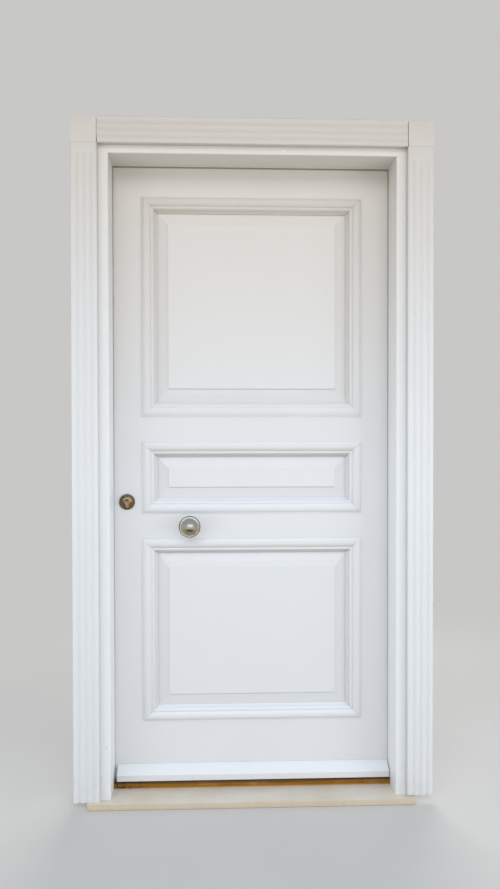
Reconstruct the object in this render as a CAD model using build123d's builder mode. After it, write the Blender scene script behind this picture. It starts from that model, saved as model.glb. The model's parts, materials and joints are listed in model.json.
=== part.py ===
from build123d import *
import os

# A panelled front door in its frame, seen from outside along +Y.
# X runs to the right (hinge side), Z up, and Y = 0 is the plane of the jambs' front faces.
# Millimetres. The origin lies under the sill, in the middle of the clear opening.

# Frame
clear_width = 902
clear_height = 2016
jamb_thickness = 45
frame_depth = 150
rebate_width = 15
arris_radius = 4

# Sill and threshold
sill_thickness = 20
sill_projection = 29
sill_left_lug = 24
sill_right_lug = 11
sill_edge_radius = 3
threshold_height = 20
threshold_seat_height = 10
threshold_width = 27
threshold_arris = 3

# Casings and corner blocks
casing_width = 82
casing_thickness = 18
casing_edge_radius = 4
side_margin = 31
head_margin = 24
reed_count = 4
reed_pitch = 21.5
groove_depth = 3.5
left_flute_stop = 27
right_flute_stop = 38
right_foot_gap = 5
block_size = 80
block_thickness = 18
block_gap = 2
pyramid_height = 6
pyramid_border = 2.5
pyramid_tip = 2

# Leaf
leaf_thickness = 50
leaf_setback = 2
leaf_gap = 3
seal_gap = 3
leaf_bottom_gap = 4
lock_stile_width = 117
hinge_stile_width = 114
top_rail_height = 121
top_panel_height = 689
mid_rail_height = 107
middle_panel_height = 209
bottom_rail_height = 206
tenon_length = 30
tenon_shoulder = 15
mortise_clearance = 2

# Panels and mouldings, as depths behind the leaf's outer face
groove_face = 13
tongue_thickness = 16
tongue_length = 10
groove_clearance = 2
field_margin = 86
field_face = 4
field_step = 2
moulding_lap = 12
moulding_width = 49
moulding_proud = 9.5
torus_foot = 3
torus_start = 2
torus_crest = 16
torus_drop = 6.5
torus_end = 28.5
quirk_height = 4
bead_start = 30
bead_proud = 5.2
bead_crest = 36
bead_drop = 1.5
bead_end = 41
hollow_depth = 5
hollow_middle = 44
inner_step = 3
mitre_gap = 0.2
inside_moulding_width = 20
inside_moulding_height = 17
inside_moulding_lip = 3

# Seals
seal_groove_width = 4
seal_groove_depth = 6
seal_bulb_width = 8
seal_clearance = 0.3

# Weather bar on the foot of the leaf
weather_bar_gap = 3
weather_bar_height = 45
weather_bar_projection = 32
weather_bar_nose = 20
weather_bar_top_edge = 3
weather_bar_round = 2
weather_bar_left_gap = 10
weather_bar_right_gap = 3
drip_radius = 3
drip_setback = 9

# Centre knob, fixed
knob_inset = 260
knob_rise = 1.5
knob_radius = 34.5
knob_projection = 60
knob_neck_radius = 11
knob_neck_length = 28
knob_back_radius = 18
knob_back_bow = 37
knob_back = 42
knob_rim_width = 7
knob_rim_height = 9
knob_groove = 1.5
knob_rose_radius = 29
knob_rose_thickness = 6
knob_bolt_radius = 4
knob_bolt_reach = 22
knob_bolt_head_radius = 11
knob_bolt_head_height = 5

# Lock
backset = 55
cylinder_height = 914
follower_rise = 72
case_depth = 80
case_thickness = 15.5
case_wall = 1.5
case_below_cylinder = 42
case_above_follower = 50
pocket_clearance = 0.25
faceplate_width = 20
faceplate_height = 235
faceplate_thickness = 3
bolt_clearance = 0.3
bolt_thickness = 12
deadbolt_height = 34
deadbolt_rise = 34
deadbolt_length = 50
deadbolt_throw = 20
latch_height = 20
latch_rise = 24
latch_length = 40
latch_throw = 12
latch_bevel = 9
latch_tip = 3
bolt_chamfer = 1
plate_screw_inset = 8.5

# Cylinder, key plug and thumb turn
barrel_radius = 8.5
web_width = 10
web_drop = 24.5
cylinder_proud = 3
cam_gap = 10
cam_radius = 15
cam_width = 8
cam_clearance = 0.4
plug_radius = 6.5
turning_clearance = 0.05
keyway_width = 2.2
keyway_height = 9
keyway_depth = 12
euro_clearance = 0.5
cylinder_screw_radius = 2.5
cylinder_screw_length = 58
cylinder_screw_drop = 20
thumb_width = 34
thumb_thickness = 9
thumb_length = 15
thumb_bevel = 2
thumb_stand_off = 2

# Escutcheons and lever
escutcheon_radius = 25.5
escutcheon_thickness = 7
rose_bevel = 3
lever_rose_radius = 26
lever_rose_thickness = 9
lever_neck_radius = 8
lever_projection = 52
lever_length = 118
lever_height = 19
lever_thickness = 10
lever_round = 3
spindle_size = 8
follower_radius = 10

# Strike plate
strike_thickness = 3
strike_width = 36
strike_front_margin = 5
strike_end_margin = 25
strike_bolt_margin = 1
keep_margin = 2
keep_end_clearance = 3

# Hinges
hinge_height = 100
hinge_plate_thickness = 3
hinge_plate_reach = 37.5
knuckle_radius = 6.5
knuckle_count = 3
knuckle_gap = 0.4
pin_radius = 3
pin_head_radius = 5
pin_head_height = 3
pin_stand_off = 9.5
lowest_hinge = 225
highest_hinge = 175

# Screws and wall fixings
screw_radius = 2.1
screw_head_radius = 4.2
screw_head_depth = 3
screw_length = 27
screw_clearance = 0.05
screw_sides = 10
hinge_screw_spacing = 35
hinge_screw_steps = (-1, 0, 1)
fixing_radius = 5
fixing_spacing = 550
fixing_count = 4
fixing_setback = 11

# Planes and edges that follow from the sizes above
half_clear = clear_width / 2
soffit_z = sill_thickness + clear_height
rebate_x = half_clear + rebate_width
jamb_outer_x = half_clear + jamb_thickness
head_top_z = soffit_z + jamb_thickness

leaf_back = frame_depth - leaf_setback
leaf_face = leaf_back - leaf_thickness
stop_depth = leaf_face - seal_gap
leaf_middle = leaf_face + leaf_thickness / 2
leaf_edge = rebate_x - leaf_gap
leaf_top = soffit_z + rebate_width - leaf_gap
threshold_front = stop_depth - threshold_width
threshold_top = sill_thickness + threshold_height
threshold_seat = sill_thickness + threshold_seat_height
leaf_bottom = threshold_seat + leaf_bottom_gap

lock_stile_edge = lock_stile_width - leaf_edge
hinge_stile_edge = leaf_edge - hinge_stile_width
panel_middle_x = (lock_stile_edge + hinge_stile_edge) / 2
panel_width = hinge_stile_edge - lock_stile_edge

top_panel_top = leaf_top - top_rail_height
top_panel_bottom = top_panel_top - top_panel_height
middle_panel_top = top_panel_bottom - mid_rail_height
middle_panel_bottom = middle_panel_top - middle_panel_height
bottom_panel_top = middle_panel_bottom - mid_rail_height
bottom_panel_bottom = leaf_bottom + bottom_rail_height

groove_front = leaf_face + groove_face
groove_back = groove_front + tongue_thickness
groove_reach = tongue_length + groove_clearance

casing_side_x = half_clear + side_margin
casing_head_z = soffit_z + head_margin
casing_middle_x = casing_side_x + casing_width / 2
casing_outer_x = casing_side_x + casing_width
block_inner_x = casing_outer_x - block_size
pyramid_base = block_size - 2 * pyramid_border
reed_radius = reed_pitch**2 / (8 * groove_depth) + groove_depth / 2
reed_shoulder = reed_radius - (reed_radius**2 - (reed_pitch / 4) ** 2) ** 0.5

weather_bar_bottom = threshold_top + weather_bar_gap
weather_bar_top = weather_bar_bottom + weather_bar_height

lock_x = backset - leaf_edge
cylinder_z = leaf_bottom + cylinder_height
follower_z = cylinder_z + follower_rise
case_bottom = cylinder_z - case_below_cylinder
case_top = follower_z + case_above_follower
case_front = faceplate_thickness - leaf_edge
case_back = case_front + case_depth
case_outer_side = leaf_middle - case_thickness / 2
case_inner_side = leaf_middle + case_thickness / 2
faceplate_z = (case_bottom + case_top) / 2
deadbolt_z = cylinder_z + deadbolt_rise
latch_z = follower_z + latch_rise
bolts = [
    (deadbolt_z, deadbolt_height, deadbolt_throw),
    (latch_z, latch_height, latch_throw),
]
cylinder_screw_z = cylinder_z - cylinder_screw_drop
cam_front = leaf_middle - cam_gap / 2
cam_back = leaf_middle + cam_gap / 2
thumb_foot = leaf_back + escutcheon_thickness + thumb_stand_off

knob_x = knob_inset - leaf_edge
knob_z = (bottom_panel_top + middle_panel_bottom) / 2 + knob_rise
knob_rim_radius = knob_radius - knob_rim_width / 2
knob_dome_edge = knob_radius - knob_rim_width
knob_rim_front = knob_back + knob_rim_height
knob_dome_foot = knob_rim_front - knob_groove
knob_dome_rise = knob_projection - knob_dome_foot
knob_dome_curve = (knob_dome_edge**2 + knob_dome_rise**2) / (2 * knob_dome_rise)
knob_dome_drop = knob_dome_curve - (knob_dome_curve**2 - (knob_dome_edge / 2) ** 2) ** 0.5

pin_x = (leaf_edge + rebate_x) / 2
pin_y = leaf_back + pin_stand_off
hinge_plate_edge = pin_y - hinge_plate_reach
lowest_hinge_z = leaf_bottom + lowest_hinge
highest_hinge_z = leaf_top - highest_hinge
hinge_levels = [lowest_hinge_z, (lowest_hinge_z + highest_hinge_z) / 2, highest_hinge_z]
hinge_screw_y = (hinge_plate_edge + leaf_back) / 2
hinge_screw_levels = [
    level + step * hinge_screw_spacing for level in hinge_levels for step in hinge_screw_steps
]
faceplate_screw_levels = [
    faceplate_z + side * (faceplate_height / 2 - plate_screw_inset) for side in (-1, 1)
]
strike_front = leaf_middle - bolt_thickness / 2 - strike_front_margin
strike_back = strike_front + strike_width
strike_bottom = deadbolt_z - deadbolt_height / 2 - strike_end_margin
strike_top = latch_z + latch_height / 2 + strike_end_margin
strike_screw_y = (strike_front + strike_back) / 2
strike_screw_levels = [strike_bottom + plate_screw_inset, strike_top - plate_screw_inset]
fixing_y = stop_depth + fixing_setback
fixing_middle_z = (sill_thickness + soffit_z) / 2
fixing_levels = [
    fixing_middle_z + (step - (fixing_count - 1) / 2) * fixing_spacing
    for step in range(fixing_count)
]

os.makedirs("parts", exist_ok=True)


def save(piece, name):
    piece.label = name
    export_step(piece, f"parts/{name}.step")


def block(x_low, x_high, y_low, y_high, z_low, z_high, mode=Mode.ADD):
    """A plain block between two corners, in the part under construction."""
    with Locations(((x_low + x_high) / 2, (y_low + y_high) / 2, (z_low + z_high) / 2)):
        Box(x_high - x_low, y_high - y_low, z_high - z_low, mode=mode)


def rod(x, z, radius, y_front, y_back, mode=Mode.ADD):
    """A round bar along Y."""
    with BuildSketch(Plane.XZ.offset(-y_back)) as section:
        with Locations((x, z)):
            Circle(radius)
    extrude(section.sketch, amount=y_back - y_front, mode=mode)


def drill_x(x_start, x_end, y, levels, radius):
    """Round holes along X at several heights."""
    with BuildSketch(Plane.YZ.offset(x_start)) as holes:
        with Locations([(y, level) for level in levels]):
            Circle(radius)
    extrude(holes.sketch, amount=x_end - x_start, mode=Mode.SUBTRACT)


def screw_form(x_face, inward, y, level, radius, length, slack=0, mode=Mode.ADD):
    """A countersunk screw along X, or its seat; inward is the direction that the screw points."""
    neck_x = x_face + inward * screw_head_depth
    with BuildSketch(Plane.YZ.offset(x_face)) as head:
        with Locations((y, level)):
            RegularPolygon(screw_head_radius + slack, screw_sides)
    with BuildSketch(Plane.YZ.offset(neck_x)) as neck:
        with Locations((y, level)):
            RegularPolygon(radius + slack, screw_sides)
    loft(sections=[head.sketch, neck.sketch], ruled=True, mode=mode)
    extrude(neck.sketch, amount=inward * (length + slack - screw_head_depth), mode=mode)


def screw_seats(x_face, inward, y, levels, radius=screw_radius, length=screw_length):
    """Countersunk seats for a row of screws."""
    for level in levels:
        screw_form(x_face, inward, y, level, radius, length, screw_clearance, Mode.SUBTRACT)


def screws(x_face, inward, y, levels, radius=screw_radius, length=screw_length):
    """A row of countersunk screws, one solid each."""
    with BuildPart() as row:
        for level in levels:
            screw_form(x_face, inward, y, level, radius, length)
    return row.part


def euro_outline(extra):
    """The keyhole shape of the lock cylinder, in the sketch under construction."""
    Circle(barrel_radius + extra)
    with Locations((0, -web_drop / 2)):
        Rectangle(web_width + 2 * extra, web_drop)
    with Locations((0, web_width / 2 - web_drop)):
        Circle(web_width / 2 + extra)


def cut_euro(y_front, y_back, extra):
    plane = Plane((lock_x, y_back, cylinder_z), x_dir=(1, 0, 0), z_dir=(0, -1, 0))
    with BuildSketch(plane) as keyhole:
        euro_outline(extra)
    extrude(keyhole.sketch, amount=y_back - y_front, mode=Mode.SUBTRACT)


# Stone sill

with BuildPart() as sill:
    with BuildSketch(Plane.XY):
        with Locations(((sill_right_lug - sill_left_lug) / 2, (frame_depth - sill_projection) / 2)):
            Rectangle(2 * jamb_outer_x + sill_left_lug + sill_right_lug, frame_depth + sill_projection)
    extrude(amount=sill_thickness)
    front = sill.faces().sort_by(Axis.Y)[0]
    fillet(front.edges(), radius=sill_edge_radius)
save(sill.part, "sill")

# Hardwood threshold bar: an upstand in front of the leaf and a seat under it

with BuildPart() as threshold:
    with BuildSketch(Plane.YZ.offset(-half_clear)):
        with BuildLine():
            Polyline(
                (threshold_front, sill_thickness),
                (threshold_front, threshold_top - threshold_arris),
                (threshold_front + threshold_arris, threshold_top),
                (stop_depth, threshold_top),
                (stop_depth, sill_thickness),
                close=True,
            )
        make_face()
    extrude(amount=clear_width)
    block(-rebate_x, rebate_x, stop_depth, frame_depth, sill_thickness, threshold_seat)
save(threshold.part, "threshold_bar")


# Frame: a lining of three boards, mitred at the top corners

seal_x = half_clear + rebate_width / 2
seal_head_z = soffit_z + rebate_width / 2
left_mitre = Plane(origin=(-half_clear, 0, soffit_z), z_dir=(1, 0, 1))
right_mitre = Plane(origin=(half_clear, 0, soffit_z), z_dir=(-1, 0, 1))


def jamb_board(side, mitre):
    """The lining of one side, mitred at the top, with the holes for its wall fixings."""
    low_x, high_x = sorted((side * rebate_x, side * jamb_outer_x))
    with BuildPart() as board:
        block(low_x, high_x, 0, frame_depth, sill_thickness, head_top_z)
        split(bisect_by=mitre, keep=Keep.BOTTOM)
        drill_x(side * rebate_x, side * jamb_outer_x, fixing_y, fixing_levels, fixing_radius)
    return board.part


with BuildPart() as left_jamb:
    add(jamb_board(-1, left_mitre))
    block(
        -rebate_x - strike_thickness, -rebate_x,
        strike_front, strike_back,
        strike_bottom, strike_top,
        mode=Mode.SUBTRACT,
    )
    for bolt_z, bolt_height, throw in bolts:
        block(
            -leaf_edge - throw - keep_end_clearance, -rebate_x,
            leaf_middle - bolt_thickness / 2 - keep_margin,
            leaf_middle + bolt_thickness / 2 + keep_margin,
            bolt_z - bolt_height / 2 - keep_margin,
            bolt_z + bolt_height / 2 + keep_margin,
            mode=Mode.SUBTRACT,
        )
    screw_seats(-rebate_x, -1, strike_screw_y, strike_screw_levels)
save(left_jamb.part, "left_jamb")

with BuildPart() as right_jamb:
    add(jamb_board(1, right_mitre))
    for level in hinge_levels:
        block(
            rebate_x, rebate_x + hinge_plate_thickness,
            hinge_plate_edge, frame_depth,
            level - hinge_height / 2, level + hinge_height / 2,
            mode=Mode.SUBTRACT,
        )
    screw_seats(rebate_x, 1, hinge_screw_y, hinge_screw_levels)
save(right_jamb.part, "right_jamb")

with BuildPart() as head_jamb:
    block(-jamb_outer_x, jamb_outer_x, 0, frame_depth, soffit_z + rebate_width, head_top_z)
    split(bisect_by=left_mitre, keep=Keep.TOP)
    split(bisect_by=right_mitre, keep=Keep.TOP)
save(head_jamb.part, "head_jamb")

# Stops: planted on the linings, flush in front, with a groove for the seal in the back edge


def stop_board(side, mitre):
    """The stop of one side, mitred at the top."""
    low_x, high_x = sorted((side * half_clear, side * rebate_x))
    with BuildPart() as board:
        block(low_x, high_x, 0, stop_depth, sill_thickness, soffit_z + rebate_width)
        corner = (side * half_clear, 0, soffit_z / 2)
        arris = board.edges().filter_by(Axis.Z).sort_by_distance(corner)[0]
        fillet(arris, radius=arris_radius)
        block(
            side * seal_x - seal_groove_width / 2, side * seal_x + seal_groove_width / 2,
            stop_depth - seal_groove_depth, stop_depth,
            sill_thickness, soffit_z + rebate_width,
            mode=Mode.SUBTRACT,
        )
        split(bisect_by=mitre, keep=Keep.BOTTOM)
    return board.part


save(stop_board(-1, left_mitre), "left_stop")
save(stop_board(1, right_mitre), "right_stop")

with BuildPart() as head_stop:
    block(-rebate_x, rebate_x, 0, stop_depth, soffit_z, soffit_z + rebate_width)
    arris = head_stop.edges().filter_by(Axis.X).sort_by_distance((0, 0, soffit_z))[0]
    fillet(arris, radius=arris_radius)
    block(
        -rebate_x, rebate_x,
        stop_depth - seal_groove_depth, stop_depth,
        seal_head_z - seal_groove_width / 2, seal_head_z + seal_groove_width / 2,
        mode=Mode.SUBTRACT,
    )
    split(bisect_by=left_mitre, keep=Keep.TOP)
    split(bisect_by=right_mitre, keep=Keep.TOP)
save(head_stop.part, "head_stop")


def seal_strip(side, mitre):
    """A seal: a stem in the jamb's groove and a soft bulb that meets the leaf."""
    centre = side * seal_x
    low_x = centre - seal_bulb_width / 2
    high_x = centre + seal_bulb_width / 2
    with BuildPart() as strip:
        with BuildSketch(Plane.XY.offset(threshold_seat)):
            with BuildLine():
                Line((low_x, stop_depth), (high_x, stop_depth))
                ThreePointArc((low_x, stop_depth), (centre, leaf_face - seal_clearance), (high_x, stop_depth))
            make_face()
            with Locations((centre, stop_depth - seal_groove_depth / 2)):
                Rectangle(seal_groove_width, seal_groove_depth)
        extrude(amount=soffit_z + rebate_width - threshold_seat)
        split(bisect_by=mitre, keep=Keep.BOTTOM)
    return strip.part


save(seal_strip(-1, left_mitre), "left_seal")
save(seal_strip(1, right_mitre), "right_seal")

bulb_low_z = seal_head_z - seal_bulb_width / 2
bulb_high_z = seal_head_z + seal_bulb_width / 2
with BuildPart() as head_seal:
    with BuildSketch(Plane.YZ.offset(-rebate_x)):
        with BuildLine():
            Line((stop_depth, bulb_low_z), (stop_depth, bulb_high_z))
            ThreePointArc(
                (stop_depth, bulb_low_z),
                (leaf_face - seal_clearance, seal_head_z),
                (stop_depth, bulb_high_z),
            )
        make_face()
        with Locations((stop_depth - seal_groove_depth / 2, seal_head_z)):
            Rectangle(seal_groove_depth, seal_groove_width)
    extrude(amount=2 * rebate_x)
    split(bisect_by=left_mitre, keep=Keep.TOP)
    split(bisect_by=right_mitre, keep=Keep.TOP)
save(head_seal.part, "head_seal")

# Reeded casings. Each groove is the hollow between two round reeds.


def groove_outline(centre):
    """The hollow between two reeds, from crest to crest, in the sketch under construction."""
    face = -casing_thickness
    half = reed_pitch / 2
    with BuildLine() as hollow:
        Line((centre - half, face), (centre + half, face))
        for direction in (-1, 1):
            ThreePointArc(
                (centre + direction * half, face),
                (centre + direction * half / 2, face + reed_shoulder),
                (centre, face + groove_depth),
            )
    make_face(hollow.edges())


def casing_board(length, stop):
    """A casing along Z from 0, its back on Y = 0. Its grooves end in round stops below the top."""
    straight = length - stop - reed_pitch / 2 if stop else length
    with BuildPart() as board:
        with BuildSketch(Plane.XY):
            with Locations((0, -casing_thickness / 2)):
                Rectangle(casing_width, casing_thickness)
        extrude(amount=length)
        fillet(board.edges().filter_by(Axis.Z).group_by(Axis.Y)[0], radius=casing_edge_radius)
        for step in range(reed_count - 1):
            centre = (step - (reed_count - 2) / 2) * reed_pitch
            with BuildSketch(Plane.XY):
                groove_outline(centre)
            extrude(amount=straight, mode=Mode.SUBTRACT)
            if stop:
                with BuildSketch(Plane.XY.offset(straight)):
                    groove_outline(centre)
                    with Locations((centre - reed_pitch / 2, -casing_thickness)):
                        Rectangle(reed_pitch, 2 * casing_thickness, mode=Mode.SUBTRACT)
                revolve(
                    axis=Axis((centre, 0, straight), (0, -1, 0)),
                    revolution_arc=180,
                    mode=Mode.SUBTRACT,
                )
    return board.part


with BuildPart() as left_casing:
    with Locations((-casing_middle_x, 0, sill_thickness)):
        add(casing_board(casing_head_z - sill_thickness, left_flute_stop))
save(left_casing.part, "left_casing")

with BuildPart() as right_casing:
    with Locations((casing_middle_x, 0, sill_thickness + right_foot_gap)):
        add(casing_board(casing_head_z - sill_thickness - right_foot_gap, right_flute_stop))
save(right_casing.part, "right_casing")

head_casing_end = block_inner_x - block_gap
with BuildPart() as head_casing:
    with Locations(Location((-head_casing_end, 0, casing_head_z + casing_width / 2), (0, 90, 0))):
        add(casing_board(2 * head_casing_end, 0))
save(head_casing.part, "head_casing")


def corner_block(side):
    """A square block with a low pyramid on its face."""
    middle_x = side * (block_inner_x + block_size / 2)
    middle_z = casing_head_z + block_size / 2
    with BuildPart() as corner:
        with BuildSketch(Plane.XZ):
            with Locations((middle_x, middle_z)):
                Rectangle(block_size, block_size)
        extrude(amount=block_thickness)
        with Locations(Location((middle_x, -block_thickness, middle_z), (180, 0, 0))):
            Wedge(
                pyramid_base, pyramid_height, pyramid_base,
                (pyramid_base - pyramid_tip) / 2, (pyramid_base - pyramid_tip) / 2,
                (pyramid_base + pyramid_tip) / 2, (pyramid_base + pyramid_tip) / 2,
                align=(Align.CENTER, Align.MIN, Align.CENTER),
            )
    return corner.part


save(corner_block(-1), "left_corner_block")
save(corner_block(1), "right_corner_block")

# Leaf: stiles and rails, joined by stub tenons, grooved for the panels

rail_spans = {
    "top_rail": (top_panel_top, leaf_top),
    "upper_mid_rail": (middle_panel_top, top_panel_bottom),
    "lower_mid_rail": (bottom_panel_top, middle_panel_bottom),
    "bottom_rail": (leaf_bottom, bottom_panel_bottom),
}
panel_spans = {
    "top": (top_panel_bottom, top_panel_top),
    "middle": (middle_panel_bottom, middle_panel_top),
    "bottom": (bottom_panel_bottom, bottom_panel_top),
}


def seal_channel():
    """The channel for the bottom seal, along the underside of the leaf."""
    block(
        -leaf_edge, leaf_edge,
        leaf_middle - seal_groove_width / 2, leaf_middle + seal_groove_width / 2,
        leaf_bottom, leaf_bottom + seal_groove_depth,
        mode=Mode.SUBTRACT,
    )


def stile(outer_x, inner_x):
    """A stile with its mortises, its panel grooves and the channel for the bottom seal."""
    into_stile = 1 if outer_x > inner_x else -1
    low_x, high_x = sorted((outer_x, inner_x))
    groove_x = sorted((inner_x, inner_x + into_stile * groove_reach))
    mortise_x = sorted((inner_x, inner_x + into_stile * (tenon_length + mortise_clearance)))
    with BuildPart() as piece:
        block(low_x, high_x, leaf_face, leaf_back, leaf_bottom, leaf_top)
        for low, high in panel_spans.values():
            block(
                *groove_x, groove_front, groove_back, low - groove_reach, high + groove_reach,
                mode=Mode.SUBTRACT,
            )
        for low, high in rail_spans.values():
            block(
                *mortise_x, groove_front, groove_back, low + tenon_shoulder, high - tenon_shoulder,
                mode=Mode.SUBTRACT,
            )
        seal_channel()
    return piece.part


with BuildPart() as lock_stile:
    add(stile(-leaf_edge, lock_stile_edge))
    block(
        -leaf_edge, case_front,
        leaf_middle - faceplate_width / 2, leaf_middle + faceplate_width / 2,
        faceplate_z - faceplate_height / 2, faceplate_z + faceplate_height / 2,
        mode=Mode.SUBTRACT,
    )
    block(
        -leaf_edge, case_back + pocket_clearance,
        case_outer_side - pocket_clearance, case_inner_side + pocket_clearance,
        case_bottom - pocket_clearance, case_top + pocket_clearance,
        mode=Mode.SUBTRACT,
    )
    cut_euro(leaf_face, leaf_back, euro_clearance)
    rod(lock_x, follower_z, follower_radius, leaf_middle, leaf_back, mode=Mode.SUBTRACT)
    screw_seats(-leaf_edge, 1, leaf_middle, faceplate_screw_levels)
save(lock_stile.part, "lock_stile")

with BuildPart() as hinge_stile:
    add(stile(leaf_edge, hinge_stile_edge))
    for level in hinge_levels:
        block(
            leaf_edge - hinge_plate_thickness, leaf_edge,
            hinge_plate_edge, leaf_back,
            level - hinge_height / 2, level + hinge_height / 2,
            mode=Mode.SUBTRACT,
        )
    screw_seats(leaf_edge, -1, hinge_screw_y, hinge_screw_levels)
save(hinge_stile.part, "hinge_stile")

for name, (low, high) in rail_spans.items():
    with BuildPart() as rail:
        block(lock_stile_edge, hinge_stile_edge, leaf_face, leaf_back, low, high)
        block(
            lock_stile_edge - tenon_length, hinge_stile_edge + tenon_length,
            groove_front, groove_back,
            low + tenon_shoulder, high - tenon_shoulder,
        )
        if name != "top_rail":
            block(
                lock_stile_edge, hinge_stile_edge, groove_front, groove_back,
                high - groove_reach, high,
                mode=Mode.SUBTRACT,
            )
        if name != "bottom_rail":
            block(
                lock_stile_edge, hinge_stile_edge, groove_front, groove_back,
                low, low + groove_reach,
                mode=Mode.SUBTRACT,
            )
        if name == "bottom_rail":
            seal_channel()
        if name == "lower_mid_rail":
            bore = knob_bolt_radius + turning_clearance
            rod(knob_x, knob_z, bore, leaf_face, leaf_back, mode=Mode.SUBTRACT)
    save(rail.part, name)

# Raised panels: a flat tongue in the grooves, a bevel on four sides and a raised field


def panel_rectangle(inset, middle_z, height):
    with Locations((panel_middle_x, middle_z)):
        Rectangle(panel_width - 2 * inset, height - 2 * inset)


for name, (low, high) in panel_spans.items():
    middle_z = (low + high) / 2
    height = high - low
    bevel_inset = moulding_width - moulding_lap
    field_inset = field_margin - moulding_lap
    with BuildPart() as panel:
        with BuildSketch(Plane.XZ.offset(-groove_back)):
            panel_rectangle(-tongue_length, middle_z, height)
        extrude(amount=tongue_thickness)
        with BuildSketch(Plane.XZ.offset(-groove_front)):
            panel_rectangle(bevel_inset, middle_z, height)
        with BuildSketch(Plane.XZ.offset(-leaf_face - field_face - field_step)):
            panel_rectangle(field_inset, middle_z, height)
        loft()
        with BuildSketch(Plane.XZ.offset(-leaf_face - field_face - field_step)):
            panel_rectangle(field_inset, middle_z, height)
        extrude(amount=field_step)
    save(panel.part, f"{name}_panel")


def mitred_length(length, width, outline):
    """A length of moulding along X; its outer edge lies on Z = 0 and both ends are mitred."""
    with BuildPart() as stick:
        with BuildSketch(Plane.YZ.offset(-length / 2)):
            outline()
        extrude(amount=length)
        for end in (-1, 1):
            mitre = Plane(origin=(end * (length / 2 - mitre_gap), 0, 0), z_dir=(-end, 0, -1))
            split(bisect_by=mitre, keep=Keep.TOP)
    return stick.part


def moulding_ring(outline, width, lap, low, high):
    """Four mitred lengths round a panel opening, overlapping the rails by the lap."""
    ring_width = panel_width + 2 * lap
    ring_height = high - low + 2 * lap
    across = mitred_length(ring_width, width, outline)
    upright = mitred_length(ring_height, width, outline)
    middle_z = (low + high) / 2
    with BuildPart() as ring:
        with Locations((panel_middle_x, 0, low - lap)):
            add(across)
        with Locations(Location((panel_middle_x, 0, high + lap), (0, 180, 0))):
            add(across)
        with Locations(Location((panel_middle_x - ring_width / 2, 0, middle_z), (0, 90, 0))):
            add(upright)
        with Locations(Location((panel_middle_x + ring_width / 2, 0, middle_z), (0, -90, 0))):
            add(upright)
    return ring.part


def bolection_outline():
    """Section of an outside moulding: a torus over the rail's edge, a bead and a hollow."""
    with BuildLine() as section:
        Polyline(
            (groove_front - inner_step, moulding_width),
            (groove_front, moulding_width),
            (groove_front, moulding_lap),
            (leaf_face, moulding_lap),
            (leaf_face, 0),
            (leaf_face - torus_foot, 0),
            (leaf_face - torus_foot, torus_start),
        )
        ThreePointArc(
            (leaf_face - torus_foot, torus_start),
            (leaf_face - moulding_proud, torus_crest),
            (leaf_face - torus_drop, torus_end),
        )
        Line((leaf_face - torus_drop, torus_end), (leaf_face - quirk_height, bead_start))
        ThreePointArc(
            (leaf_face - quirk_height, bead_start),
            (leaf_face - bead_proud, bead_crest),
            (leaf_face - bead_drop, bead_end),
        )
        ThreePointArc(
            (leaf_face - bead_drop, bead_end),
            (leaf_face + hollow_depth, hollow_middle),
            (groove_front - inner_step, moulding_width),
        )
    make_face(section.edges())


def planted_outline():
    """Section of an inside moulding, planted in the corner between rail and panel."""
    top = groove_back + inside_moulding_height
    with BuildLine() as section:
        Polyline(
            (groove_back + inside_moulding_lip, inside_moulding_width),
            (groove_back, inside_moulding_width),
            (groove_back, 0),
            (top, 0),
            (top, inside_moulding_lip),
        )
        EllipticalCenterArc(
            (groove_back + inside_moulding_lip, inside_moulding_lip),
            inside_moulding_height - inside_moulding_lip,
            inside_moulding_width - inside_moulding_lip,
            arc_size=90,
        )
    make_face(section.edges())


for name, (low, high) in panel_spans.items():
    outside = moulding_ring(bolection_outline, moulding_width, moulding_lap, low, high)
    save(outside, f"{name}_outside_moulding")
    inside = moulding_ring(planted_outline, inside_moulding_width, 0, low, high)
    save(inside, f"{name}_inside_moulding")

# Weather bar: it throws the rain off over the threshold

with BuildPart() as weather_bar:
    nose_y = leaf_face - weather_bar_projection
    with BuildSketch(Plane.YZ.offset(weather_bar_left_gap - half_clear)):
        with BuildLine():
            Polyline(
                (leaf_face, weather_bar_bottom),
                (leaf_face, weather_bar_top),
                (leaf_face - weather_bar_top_edge, weather_bar_top),
                (nose_y, weather_bar_bottom + weather_bar_nose),
                (nose_y, weather_bar_bottom),
                close=True,
            )
        make_face()
        with Locations((nose_y + drip_setback, weather_bar_bottom)):
            Circle(drip_radius, mode=Mode.SUBTRACT)
    extrude(amount=clear_width - weather_bar_left_gap - weather_bar_right_gap)
    nose_edges = weather_bar.edges().filter_by(Axis.X).group_by(Axis.Y)[0]
    fillet(nose_edges, radius=weather_bar_round)
save(weather_bar.part, "weather_bar")

with BuildPart() as bottom_seal:
    block(
        -leaf_edge, leaf_edge,
        leaf_middle - seal_groove_width / 2, leaf_middle + seal_groove_width / 2,
        threshold_seat + seal_clearance, leaf_bottom + seal_groove_depth,
    )
save(bottom_seal.part, "bottom_seal")


# Turned pieces, drawn as half sections: radius along X, distance from the leaf along Y


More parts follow.
